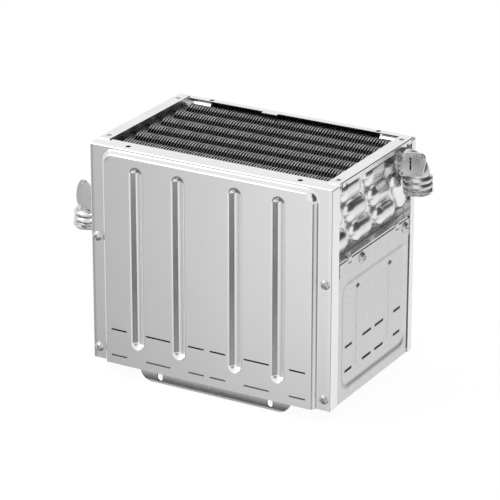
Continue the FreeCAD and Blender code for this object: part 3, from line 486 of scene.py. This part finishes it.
def side_panel(node, turned, fine):
    p = SIDE
    sign = -1.0 if turned else 1.0
    half, top, bend, shift = p["half"], p["top"], p["bend"], sign * p["shift"]
    screws, hooks = [sign * y for y in p["screws"]], [sign * y for y in p["hooks"]]
    slit_y, notch_y = sign * p["slit_y"], sign * p["notch_y"]
    fold = bend * math.pi / 2 - bend
    fold_run = bend * math.pi / 2
    side_end = half + p["return"] + fold - bend
    hook_end = p["hook_top"] + p["hook_reach"] + fold - bend
    screw_up, hook_bend = top - p["screw_drop"], p["hook_top"] - bend
    vents = [(shift + way * y, level, length / 2 - p["vent_r"], p["vent_r"])
             for y, length in p["vents"] for way in (-1, 1) for level in p["vent_levels"]]
    holes = vents + [(y, screw_up, 0.0, p["screw_r"]) for y in screws]
    ribs = [shift - p["rib_y"], shift + p["rib_y"]]

    spans = [(-half + bend, half - bend, 3.6)] + slot_ends(vents, 0.5)
    spans += mirrored(half + 0.5, side_end, 5.5)
    spans += mirrored(half - bend, half - bend + fold_run, 0.35)
    spans += [(shift - p["field_half"] - 1.5, shift - p["field_half"] + 9.0, 0.75 * fine),
              (shift + p["field_half"] - 9.0, shift + p["field_half"] + 1.5, 0.75 * fine),
              around(slit_y, p["slit_half"], p["slit_half"]),
              around(notch_y, p["notch_half"], p["notch_half"])]
    spans += [around(y, 6.5, 0.6 * fine) for y in ribs]
    spans += [around(y, 2.6, 0.65) for y in screws]
    spans += [around(y, p["hook_half"], p["hook_half"]) for y in hooks]
    rows = [(p["foot"], top, 4.5),
            (p["field_low"] - 1.5, p["field_low"] + 9, 0.75 * fine),
            (p["field_high"] - 9, p["field_high"] + 1.5, 0.75 * fine),
            (p["rib_low"] - 1, p["rib_low"] + 7, 0.6 * fine),
            (p["rib_high"] - 7, p["rib_high"] + 1, 0.6 * fine),
            around(screw_up, 2.6, 0.65), (top - p["top_gap"], top, p["top_gap"]),
            around(top - p["hook_slot_drop"], p["hook_slot_half"], p["hook_slot_half"]),
            (top, hook_bend, 1.1), (hook_bend, hook_bend + fold_run, 0.35),
            (p["hook_top"] + 0.6, hook_end, 1.6)]
    rows += [around(level, 1.8, 0.6) for level in p["vent_levels"]]

    def relief(a, u):
        inside = rounded_in(a - shift, u, p["field_half"], p["field_low"], p["field_high"],
                            p["corner"])
        lift = -p["deep"] * ease((inside + p["ease_in"]) / (p["slope"] + 2 * p["ease_in"]))
        for mid in ribs:
            away = capsule(a, u, mid, p["rib_low"] + p["rib_r"], p["rib_high"] - p["rib_r"])
            lift = lift + p["rib_tall"] * (1 - ease((away - p["rib_core"]) / p["rib_slope"]))
        return lift

    def cut(a, u):
        on_hook = np.zeros(a.shape, bool)
        for y in hooks:
            on_hook |= np.abs(a - y) < p["hook_half"]
        gone = (u > top - p["top_gap"]) & ~on_hook
        gone |= (np.abs(a - notch_y) < p["notch_half"]) & (u > top - p["notch_drop"])
        gone |= ((np.abs(a - slit_y) < p["slit_half"]) & (u > p["slit_low"])
                 & (u < top - p["slit_drop"]))
        return gone | on_hook & (np.abs(u - top + p["hook_slot_drop"]) < p["hook_slot_half"])

    def place(v):
        return np.stack([sign * (p["face"] - v[:, 2]), sign * v[:, 0], v[:, 1]], 1)

    pressed(node + "_pressed", "zinc_steel", (lines(spans), lines(rows)), relief, holes, cut,
            (half, p["hook_top"], bend), place, [node])


# Tube places: three staggered rows through the fins.
TUBE_PITCH, ROW_PITCH, TUBE_R = 24 * MM, 23.5 * MM, 7.5 * MM
ROW_A = (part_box("tube_a4")[0][2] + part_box("tube_a4")[1][2]) / 2
ROWS = {"a": (ROW_A, 7), "b": (ROW_A - ROW_PITCH, 6), "c": (ROW_A - 2 * ROW_PITCH, 7)}
TUBES = [row + str(i + 1) for row, (_, count) in ROWS.items() for i in range(count)]


def tube_place(name):
    level, count = ROWS[name[0]]
    return (int(name[1]) - 1 - (count - 1) / 2) * TUBE_PITCH, level


# Fins: thin sheets with rounded crests over the tubes, a round hole for each tube and an
# edge that is folded over into a narrow lip above each tube of the top row.
FIN_STEP, FIN_THICK = 3.0 * MM, 0.35 * MM
FIN_LEAN, LEAN_SEED = 0.25 * MM, 4
CREST_DIP = 5.2 * MM
SOLE_DIP = 0.7 * CREST_DIP
CREST_POWER = 1.5
CREST_STEPS = 12
HOLE_SIDES = 14
LIP_HALF, LIP_WIDE = 6.0 * MM, 1.1 * MM
LIP_STEPS = 7
LIP_DROPS = np.array([0, 0.1, 0.4, 0.3]) * MM  # of the four corners of a lip's section


def valley(y):
    """0 over a tube of the top row, 1 midway between two."""
    return (0.5 - 0.5 * np.cos(2 * math.pi * y / TUBE_PITCH)) ** CREST_POWER


def circle(y, z, r, sides):
    return [(y + r * math.cos(a), z + r * math.sin(a))
            for a in (2 * math.pi * k / sides for k in range(sides))]


def fin_outline():
    low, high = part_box("fin_pack")
    span = high[1] - low[1]
    count = int(round(span / TUBE_PITCH * CREST_STEPS))
    ys = [low[1] + span * i / count for i in range(count + 1)]
    return ([(y, high[2] - CREST_DIP * valley(y)) for y in ys]
            + [(y, low[2] + SOLE_DIP * valley(y)) for y in reversed(ys)])


def fins():
    low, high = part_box("fin_pack")
    outer = fin_outline()
    bm = bmesh.new()
    edges = []
    for loop in [outer] + [circle(*tube_place(name), TUBE_R, HOLE_SIDES) for name in TUBES]:
        ring = [bm.verts.new((0, y, z)) for y, z in loop]
        edges += [bm.edges.new((ring[i], ring[(i + 1) % len(ring)])) for i in range(len(ring))]
    bmesh.ops.triangle_fill(bm, use_beauty=True, edges=edges, normal=(1, 0, 0))
    bm.verts.ensure_lookup_table()
    flat = np.array([v.co for v in bm.verts])
    tris = np.array([[v.index for v in f.verts] for f in bm.faces])
    bm.free()
    side = np.arange(len(outer))
    after = (side + 1) % len(outer)
    walls = np.stack([side, after, after + len(flat), side + len(flat)], 1)
    count = int((high[0] - low[0]) / FIN_STEP)
    bend = np.clip((flat[:, 2] - ROW_A) / (high[2] - ROW_A), 0, 1)
    verts, faces, lips = [], [], []
    lean = random.Random(LEAN_SEED)
    for i in range(count):
        x = low[0] + FIN_THICK + (high[0] - low[0] - 2 * FIN_THICK) * i / (count - 1)
        tilt = lean.uniform(-FIN_LEAN, FIN_LEAN)
        for shift in (-FIN_THICK / 2, FIN_THICK / 2):
            sheet = flat.copy()
            sheet[:, 0] = np.clip(x + shift + tilt * bend, low[0], high[0])
            verts.append(sheet)
        base = 2 * i * len(flat)
        for part in (tris[:, ::-1] + base, tris + base + len(flat), walls + base):
            faces += [tuple(face) for face in part]
        crest_lips(lips, faces, len(flat) * 2 * count, x, high)
    piece("fins", np.concatenate(verts + lips), faces, "fin_sheet", smooth=False,
          replaces=["fin_pack"])


def crest_lips(lips, faces, start, x, high):
    """The lips of the fin at x; start is where the lips' points begin."""
    count = ROWS["a"][1]
    for c in range(count):
        ys = (c - count // 2) * TUBE_PITCH + np.linspace(-LIP_HALF, LIP_HALF, LIP_STEPS + 1)
        zs = high[2] - CREST_DIP * valley(ys)
        lip = np.zeros((LIP_STEPS + 1, 4, 3))
        lip[:, :, 0] = np.clip(x + np.array([0, LIP_WIDE, LIP_WIDE, 0]), None, high[0])
        lip[:, :, 1] = ys[:, None]
        lip[:, :, 2] = zs[:, None] - LIP_DROPS
        base = start + len(lips) * 4 * (LIP_STEPS + 1)
        lips.append(lip.reshape(-1, 3))
        for k in range(LIP_STEPS):
            for e in range(4):
                a, b = base + 4 * k + e, base + 4 * k + (e + 1) % 4
                faces.append((a, b, b + 4, a + 4))
        faces.append((base + 3, base + 2, base + 1, base))
        faces.append(tuple(base + 4 * LIP_STEPS + e for e in range(4)))


# Dome covers: one stamped sheet each, whose domes join pairs of tube ends.
RIGHT_PAIRS = [("a2", "a3"), ("a4", "a5"), ("a1", "b1"), ("b2", "b3"), ("b4", "b5"),
               ("b6", "c7"), ("c1", "c2"), ("c3", "c4"), ("c5", "c6")]
LEFT_PAIRS = [("a1", "a2"), ("a3", "a4"), ("a5", "a6"), ("b1", "b2"), ("b3", "b4"),
              ("b5", "b6"), ("c2", "c3"), ("c4", "c5"), ("c6", "c7")]
DOME = {"r": 12.4 * MM * 0.98, "ends": (0.12, 0.88), "round": 2.2, "full": 0.72, "fillet": 0.20,
        "step": 0.75 * MM, "back": 118.0 * MM, "plate": 119 * MM, "crown": 127 * MM}


def dome_height(y, z, pairs, sign):
    """Rounded pillows between the tubes of each pair, with a soft fillet at the plate."""
    height = np.zeros_like(y)
    for first, second in pairs:
        (ya, za), (yb, zb) = tube_place(first), tube_place(second)
        a, b = np.array([sign * ya, za]), np.array([sign * yb, zb])
        span = b - a
        t = ((y - a[0]) * span[0] + (z - a[1]) * span[1]) / (span @ span)
        t = np.clip(t, *DOME["ends"])
        away = np.hypot(y - a[0] - t * span[0], z - a[1] - t * span[1]) / DOME["r"]
        pillow = np.clip(1 - away ** DOME["round"], 0, 1) ** DOME["full"]
        foot = 0.5 - 0.5 * np.cos(np.pi * np.clip((1.0 - away) / DOME["fillet"], 0, 1))
        height = np.maximum(height, (DOME["crown"] - DOME["plate"]) * pillow * foot)
    return height


def dome_cover(node, pairs, sign):
    low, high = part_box(node)
    grid = [np.linspace(low[i], high[i], int((high[i] - low[i]) / DOME["step"]) + 1)
            for i in (1, 2)]
    ys, zs = np.meshgrid(*grid, indexing="ij")
    front = np.stack([DOME["plate"] + dome_height(ys, zs, pairs, sign), ys, zs], -1)
    index = np.arange(ys.size).reshape(ys.shape)
    quads = np.stack([index[:-1, :-1], index[1:, :-1], index[1:, 1:], index[:-1, 1:]],
                     -1).reshape(-1, 4)
    rim = np.concatenate([index[:, 0], index[-1, 1:], index[-2::-1, -1], index[0, -2:0:-1]])
    after = np.roll(rim, -1)
    behind = ys.size + np.arange(len(rim))
    walls = np.stack([after, rim, behind, np.roll(behind, -1)], 1)
    verts = front.reshape(-1, 3)
    back = verts[rim]
    back[:, 0] = DOME["back"]
    verts = np.concatenate([verts, back])
    if sign < 0:
        verts[:, :2] *= -1
    faces = quads.tolist() + walls.tolist() + [behind[::-1].tolist()]
    piece(node + "_stamped", verts, faces, "dome_steel", replaces=[node])


# Water elbows: a bent pipe with a weld bead at its root and a smooth stay plate in front.
# A port's plate, slit, ear and dimple are placed from its axis and its tube row, in (x, z).
PORT_X, BEND, PIPE_R, PASSAGE_R = 144.5, 13.0, 11.3, 6.5
ROOT_X, PLATE_SINK, PLATE_THICK = 125.0, 0.9, 1.2
ROOT = ((0, 11.2), (0.25, 11.45), (1.0, 11.45), (1.8, 11.45), (2.2, 11.3), (4.0, 11.3))
BEND_STEPS = 12
BEVEL_LONG, BEVEL_IN = 0.2, 0.3
BEHIND_Y, BEHIND_REACH, BEHIND_OVER = -8.0, 1.8, 0.5  # of the pipe's faces behind a slit
ELBOW_CREASE = math.radians(42)
SLIT_HALF, EAR_R, DIMPLE_R, PLATE_ROUND = 0.9, 1.5, 0.9, 0.35
PORTS = {
    "outlet": {"y": 60.0, "level": 218.5, "foot": 189.5, "sign": 1, "slit": (-2.5, -5.7, 9.7),
               "dimple": (9.5, 9.6), "ear": (-10.9, -9.7),
               "plate": [(-4.5, 12.4), (3, 13.4), (8.5, 13.7), (12.4, 11.6), (13.4, 7.5),
                         (12, -1), (9.6, -9.2), (6, -10.4), (-1, -12.2), (-5, -12),
                         (-8.4, -12.4), (-10.9, -12.9), (-13.6, -11.4), (-14, -8.8),
                         (-12.6, -6), (-12.3, 2), (-10, 9)]},
    "inlet": {"y": 65.5, "level": 171.5, "foot": 142.5, "sign": -1, "slit": None,
              "dimple": (-0.7, 16.4), "ear": (-7.4, -9.6),
              "plate": [(-8, 17.6), (-2.6, 20.6), (1.4, 19.8), (4.6, 14.5), (6.6, 6),
                        (6.7, -1), (5.2, -5.4), (1, -7), (-3.6, -9.6), (-6.6, -12.6),
                        (-9.6, -12.2), (-12, -8), (-12.5, 3), (-12.2, 13)]},
}


def smoothed(points, rounds=2):
    """Cuts the corners of a closed outline."""
    for _ in range(rounds):
        nearby = list(zip(points, points[1:] + points[:1]))
        points = [spot for (a, b), (c, d) in nearby
                  for spot in ((0.75 * a + 0.25 * c, 0.75 * b + 0.25 * d),
                               (0.25 * a + 0.75 * c, 0.25 * b + 0.75 * d))]
    return points


def sweep(verts, faces, path, radii, sides=40):
    """Rings along a flat path of (x, z, turn). Gives the first and last ring."""
    start = len(verts)
    for (x, z, turn), r in zip(path, radii):
        for k in range(sides):
            a = 2 * math.pi * k / sides
            out = r * math.cos(a)
            verts.append((x - out * math.sin(turn), r * math.sin(a), z + out * math.cos(turn)))
    for a in range(start, len(verts) - sides, sides):
        for k in range(sides):
            j = (k + 1) % sides
            faces.append((a + k, a + j, a + sides + j, a + sides + k))
    return range(start, start + sides), range(len(verts) - sides, len(verts))


def water_elbow(side):
    p = PORTS[side]
    level, foot, down = p["level"], p["foot"], -math.pi / 2
    path = [(ROOT_X + x, level, 0.0) for x, _ in ROOT]
    for k in range(BEND_STEPS + 1):
        a = math.pi / 2 * k / BEND_STEPS
        path.append((PORT_X - BEND + BEND * math.sin(a), level - BEND + BEND * math.cos(a), -a))
    path += [(PORT_X, foot + BEVEL_LONG, down), (PORT_X, foot, down)]
    outer = [r for _, r in ROOT] + [PIPE_R] * (BEND_STEPS + 2) + [PIPE_R - BEVEL_IN]
    verts, faces = [], []
    ends = sweep(verts, faces, path, outer)
    for ring, hollow in zip(ends, sweep(verts, faces, path, [PASSAGE_R] * len(path))):
        for k in range(len(ring)):
            j = (k + 1) % len(ring)
            faces.append((ring[k], ring[j], hollow[j], hollow[k]))
    bm = bmesh.new()
    for spot in verts:
        bm.verts.new(spot)
    bm.verts.ensure_lookup_table()
    for face in faces:
        bm.faces.new([bm.verts[i] for i in face])
    if p["slit"]:
        # The plate's slit opens into the pipe: the wall's faces right behind it go.
        x, low, high = p["slit"]
        low, high = level + low - BEHIND_OVER, level + high + BEHIND_OVER
        middles = [(f, f.calc_center_median()) for f in bm.faces]
        behind = [f for f, middle in middles
                  if middle.y < BEHIND_Y and low < middle.z < high
                  and abs(middle.x - PORT_X - x) < BEHIND_REACH]
        bmesh.ops.delete(bm, geom=behind, context="FACES_ONLY")
    stay_plate(bm, p)
    bmesh.ops.recalc_face_normals(bm, faces=bm.faces)
    # The plate faces the front, also on the port that is turned half round.
    for v in bm.verts:
        y = p["y"] + p["sign"] * v.co.y
        v.co = Vector((p["sign"] * v.co.x, p["sign"] * y, v.co.z)) * MM
    if p["sign"] < 0:
        bmesh.ops.reverse_faces(bm, faces=bm.faces)
    mesh = bpy.data.meshes.new(side + "_elbow_bent")
    bm.to_mesh(mesh)
    bm.free()
    finish_piece(add_object(side + "_elbow_bent", mesh), "elbow_metal",
                 replaces=[side + "_elbow"])
    mesh.set_sharp_from_angle(angle=ELBOW_CREASE)


def slit_outline(x, low, high, sides=12):
    points = []
    for a in (2 * math.pi * (k + 0.5) / sides for k in range(sides)):
        middle = high - SLIT_HALF if a < math.pi else low + SLIT_HALF
        points.append((x + SLIT_HALF * math.cos(a), middle + SLIT_HALF * math.sin(a)))
    return points


def stay_plate(bm, p):
    """Plate with a screw hole in its ear and a dimple, at -y of the pipe, and maybe a slit."""
    back = -(PIPE_R - PLATE_SINK)
    front = back - PLATE_THICK
    loops = [smoothed(p["plate"])]
    if p["slit"]:
        loops.append(slit_outline(*p["slit"]))
    loops += [circle(*p["ear"], EAR_R, HOLE_SIDES), circle(*p["dimple"], DIMPLE_R, HOLE_SIDES)]
    edges, rings = [], []
    for loop in loops:
        ring = [bm.verts.new((PORT_X + u, front, p["level"] + v)) for u, v in loop]
        rings.append(ring)
        edges += [bm.edges.new((ring[i], ring[(i + 1) % len(ring)])) for i in range(len(ring))]
    made = bmesh.ops.triangle_fill(bm, use_beauty=True, edges=edges, normal=(0, -1, 0))
    caps = [f for f in made["geom"] if isinstance(f, bmesh.types.BMFace)]
    pairs = bmesh.ops.duplicate(bm, geom=caps)["vert_map"]
    for ring in rings:
        mates = [pairs[v] for v in ring]
        for v in mates:
            v.co.y = back
        for i in range(len(ring)):
            j = (i + 1) % len(ring)
            bm.faces.new((ring[i], ring[j], mates[j], mates[i]))
    # The plate's front edge is slightly rounded.
    middle = sum((v.co for v in rings[0]), Vector()) / len(rings[0])
    for v in rings[0]:
        pull = (middle - v.co).normalized() * PLATE_ROUND
        v.co.x += pull.x
        v.co.z += pull.z


# Screws: flanged pan heads with a cross recess, and their shanks. A head's profile is in
# shares of its radius and its height.
HEAD = ((0.0, 1.0), (0.10, 1.0), (0.17, 0.995), (0.24, 0.99), (0.31, 0.98), (0.38, 0.965),
        (0.45, 0.94), (0.52, 0.90), (0.60, 0.83), (0.70, 0.70), (0.78, 0.52), (0.80, 0.42),
        (0.83, 0.36), (0.92, 0.34), (0.99, 0.26), (1.0, 0.0))
RECESS = {"deep": 0.55, "half": 0.62, "slope": 0.3, "reach": 0.56, "end": 0.5}
SHANK_R, SHANK_TIP_R, SHANK_LONG = 2.0, 1.92, 6.4
SCREW_TURNS = 40
FIRST_SPIN, NEXT_SPIN = 0.4, 0.9
SCREW_CREASE = math.radians(48)


def screw(verts, faces, spot, out, radius, height, spin):
    start = len(verts)
    spot, out, up = Vector(spot), Vector(out), Vector((0, 0, 1))
    side = up.cross(out)
    angles = [2 * math.pi * k / SCREW_TURNS for k in range(SCREW_TURNS)]
    for share, tall in HEAD:
        for a in angles:
            u, v = share * radius * math.cos(a), share * radius * math.sin(a)
            c = u * math.cos(spin) + v * math.sin(spin)
            d = -u * math.sin(spin) + v * math.cos(spin)
            arm, reach = sorted((abs(c), abs(d)))
            cross = (ease((RECESS["half"] - arm) / RECESS["slope"])
                     * ease((RECESS["reach"] * radius - reach) / RECESS["end"]))
            deep = RECESS["deep"] * height * float(cross)
            verts.append(tuple(spot + side * u + up * v + out * (tall * height - deep)))
    for depth, r in ((0.0, SHANK_R), (-SHANK_LONG, SHANK_TIP_R)):
        for a in angles:
            verts.append(tuple(spot + side * r * math.cos(a) + up * r * math.sin(a)
                               + out * depth))
    last = start + (len(HEAD) + 1) * SCREW_TURNS
    for ring in range(start, last, SCREW_TURNS):
        for k in range(SCREW_TURNS):
            j = (k + 1) % SCREW_TURNS
            faces.append((ring + k, ring + SCREW_TURNS + k, ring + SCREW_TURNS + j, ring + j))
    faces.append(tuple(last + k for k in range(SCREW_TURNS)))


def screws(node, spots, out, radius, height):
    verts, faces = [], []
    for i, spot in enumerate(spots):
        screw(verts, faces, spot, out, radius, height, FIRST_SPIN + NEXT_SPIN * i)
    obj = piece(node + "_cross", np.array(verts) * MM, faces, "screw_zinc", replaces=[node])
    obj.data.set_sharp_from_angle(angle=SCREW_CREASE)


def all_screws():
    for node, sign in (("front_screws", 1), ("back_screws", -1)):
        spots = [(way * x, -sign * PANEL["face"], z)
                 for way in (-1, 1) for x, z in PANEL["screws"]]
        screws(node, spots, (0, -sign, 0), radius=4.7, height=2.6)
    for node, sign in (("right_screws", 1), ("left_screws", -1)):
        spots = [(sign * SIDE["face"], y, SIDE["top"] - SIDE["screw_drop"])
                 for y in SIDE["screws"]]
        screws(node, spots, (sign, 0, 0), radius=5.6, height=3.0)


# Tabs of the header trays that lean against the back panel's inside.
TAB_X = (93.5, 117.0)
TAB_SECTION = ((81.9, 232.4), (77.4, 225.2), (77.9, 224.6), (82.3, 231.8))


def header_tabs():
    for side, sign in (("right", 1), ("left", -1)):
        verts = [(sign * x, y, z) for x in TAB_X for y, z in TAB_SECTION]
        faces = [(0, 1, 5, 4), (1, 2, 6, 5), (2, 3, 7, 6), (3, 0, 4, 7), (3, 2, 1, 0),
                 (4, 5, 6, 7)]
        piece(side + "_header_tab", np.array(verts) * MM, faces, "header_steel", smooth=False)


# Floor and light. The floor glows palely, more for the camera, and is dark right under the
# casing, which stands open on low feet: (middle, half) of that shadow along each axis.
FLOOR = {"half": 8.0, "diffuse": 0.07, "glow": 0.80, "seen": 0.155,
         "shadow": (("X", 0.0, 0.085), ("Y", 0.0495, 0.0655)), "fade": 0.030, "dark": 0.04}
SHADE = {"x": 0.125, "front": -0.093, "back": 0.085, "z": 0.002, "tone": 0.10}


def flat_stage(name, mat, low, high, z):
    mesh = bpy.data.meshes.new(name)
    mesh.from_pydata([(low[0], low[1], z), (high[0], low[1], z), (high[0], high[1], z),
                      (low[0], high[1], z)], [], [(0, 1, 2, 3)])
    mesh.materials.append(mat)
    obj = add_object(name, mesh)
    return obj


def floor():
    mat, nodes, links = fresh("studio_floor")
    path = nodes.new("ShaderNodeLightPath")
    seen = compute(nodes, links, "MAXIMUM", path.outputs["Is Camera Ray"],
                   path.outputs["Is Transmission Ray"])
    glow = nodes.new("ShaderNodeEmission")
    links.new(compute(nodes, links, "MULTIPLY_ADD", seen, FLOOR["seen"], FLOOR["glow"]),
              glow.inputs["Strength"])
    split = nodes.new("ShaderNodeSeparateXYZ")
    links.new(nodes.new("ShaderNodeTexCoord").outputs["Object"], split.inputs["Vector"])
    reach = nodes.new("ShaderNodeCombineXYZ")
    for axis, middle, half in FLOOR["shadow"]:
        off = compute(nodes, links, "SUBTRACT", split.outputs[axis], middle)
        off = compute(nodes, links, "ABSOLUTE", off)
        off = compute(nodes, links, "SUBTRACT", off, half)
        links.new(compute(nodes, links, "MAXIMUM", off, 0.0), reach.inputs[axis])
    away = nodes.new("ShaderNodeVectorMath")
    away.operation = "LENGTH"
    links.new(reach.outputs["Vector"], away.inputs[0])
    links.new(map_range(nodes, links, away.outputs["Value"], (0.0, FLOOR["fade"]),
                        (FLOOR["dark"], 1.0), "SMOOTHSTEP"), glow.inputs["Color"])
    matt = nodes.new("ShaderNodeBsdfDiffuse")
    matt.inputs["Color"].default_value = (*grey(FLOOR["diffuse"]), 1)
    total = nodes.new("ShaderNodeAddShader")
    links.new(glow.outputs["Emission"], total.inputs[0])
    links.new(matt.outputs["BSDF"], total.inputs[1])
    out = nodes.new("ShaderNodeOutputMaterial")
    links.new(total.outputs["Shader"], out.inputs["Surface"])
    half = FLOOR["half"]
    obj = flat_stage("studio_floor", mat, (-half, -half), (half, half), 0)
    obj.visible_glossy = False


def shade_card():
    """A dark card on the floor under the casing: painted shade, which only reflections see."""
    mat, nodes, links = fresh("shade_card")
    glow = nodes.new("ShaderNodeEmission")
    glow.inputs["Color"].default_value = (*grey(SHADE["tone"]), 1)
    out = nodes.new("ShaderNodeOutputMaterial")
    links.new(glow.outputs["Emission"], out.inputs["Surface"])
    obj = flat_stage("shade_card", mat, (-SHADE["x"], SHADE["front"]),
                     (SHADE["x"], SHADE["back"]), SHADE["z"])
    obj.visible_camera = obj.visible_diffuse = obj.visible_shadow = False


# What metal mirrors: white studio walls with dark flags, as tones by direction. Degrees
# run from the front (0) towards the right (90). The zones lie above one another, and
# BLENDS says between which heights of a ray each takes over from the one below it.
STUDIO = {
    "steep": ((-180, 0.5), (-100, 0.6), (-80, 0.24), (25, 0.20), (45, 0.8), (70, 1.0),
              (140, 1.0), (180, 0.5)),
    "low": ((-180, 0.45), (-166, 0.5), (-150, 1.0), (-60, 1.0), (-52, 0.60), (-44, 0.44),
            (-35, 0.42), (-28, 1.0), (-20, 1.0), (28, 1.0), (41, 0.03), (71, 0.04), (90, 0.95),
            (162, 1.0), (174, 0.45), (180, 0.45)),
    "mid": ((-180, 0.5), (-166, 0.55), (-150, 1.0), (-60, 1.0), (-52, 0.60), (-44, 0.44),
            (-35, 0.42), (-28, 1.0), (42, 1.0), (60, 0.85), (120, 0.95), (168, 0.8),
            (180, 0.5)),
    "high": ((-180, 0.10), (-172, 0.12), (-162, 1.0), (40, 1.0), (64, 0.10), (165, 0.05),
             (180, 0.08)),
}
BLENDS = {"low": (-0.50, -0.38), "mid": (-0.36, -0.30), "high": (-0.07, 0.10)}
SOFT_LIGHT, WHITE = 0.7, 1.0


def background(nodes, links, tone):
    node = nodes.new("ShaderNodeBackground")
    feed(links, node.inputs["Color"], tone)
    return node.outputs["Background"]


def world():
    """White behind the object, the studio in its reflections, a plain level as soft light."""
    scene = bpy.context.scene
    scene.world = bpy.data.worlds.new("studio")
    scene.world.use_nodes = True
    nodes, links = scene.world.node_tree.nodes, scene.world.node_tree.links
    nodes.clear()
    split = nodes.new("ShaderNodeSeparateXYZ")
    links.new(nodes.new("ShaderNodeTexCoord").outputs["Generated"], split.inputs["Vector"])
    front = compute(nodes, links, "MULTIPLY", split.outputs["Y"], -1.0)
    turn = compute(nodes, links, "ARCTAN2", split.outputs["X"], front)
    place = map_range(nodes, links, turn, (-math.pi, math.pi))
    tones = {}
    for zone, stops in STUDIO.items():
        blend = ramp(nodes, [((a + 180) / 360, tone) for a, tone in stops], "LINEAR")
        links.new(place, blend.inputs["Fac"])
        tones[zone] = blend.outputs["Color"]
    mirrored_tone = tones["steep"]
    for zone, limits in BLENDS.items():
        height = map_range(nodes, links, split.outputs["Z"], limits)
        mirrored_tone = mix_colours(nodes, links, height, mirrored_tone, tones[zone])
    path = nodes.new("ShaderNodeLightPath")
    clear = compute(nodes, links, "MAXIMUM", path.outputs["Is Camera Ray"],
                    path.outputs["Is Transmission Ray"])
    shader = background(nodes, links, (*grey(SOFT_LIGHT), 1))
    for ray, tone in ((path.outputs["Is Glossy Ray"], mirrored_tone),
                      (clear, (*grey(WHITE), 1))):
        mix = nodes.new("ShaderNodeMixShader")
        links.new(ray, mix.inputs["Fac"])
        links.new(shader, mix.inputs[1])
        links.new(background(nodes, links, tone), mix.inputs[2])
        shader = mix.outputs["Shader"]
    out = nodes.new("ShaderNodeOutputWorld")
    links.new(shader, out.inputs["Surface"])


def key_light(spot=(-0.9, -0.9, 1.1), aim=(0, 0, 0.12), size=1.0, watts=7):
    data = bpy.data.lights.new("key", "AREA")
    data.shape = "RECTANGLE"
    data.size = data.size_y = size
    data.energy = watts
    lamp = add_object("key", data)
    lamp.location = spot
    lamp.rotation_euler = (Vector(aim) - Vector(spot)).to_track_quat("-Z", "Y").to_euler()


build_camera()
dress_nodes()
casing_panel("front_panel", flange=18.0, side_return=14.0, hole_in=8.3, turned=False, fine=1.0)
casing_panel("back_panel", flange=8.0, side_return=8.5, hole_in=4.0, turned=True, fine=1.5)
side_panel("right_side_panel", turned=False, fine=1.0)
side_panel("left_side_panel", turned=True, fine=1.3)
fins()
dome_cover("right_dome_cover", RIGHT_PAIRS, 1)
dome_cover("left_dome_cover", LEFT_PAIRS, -1)
water_elbow("outlet")
water_elbow("inlet")
all_screws()
header_tabs()
floor()
shade_card()
world()
key_light()
bpy.context.scene.view_settings.view_transform = "Standard"
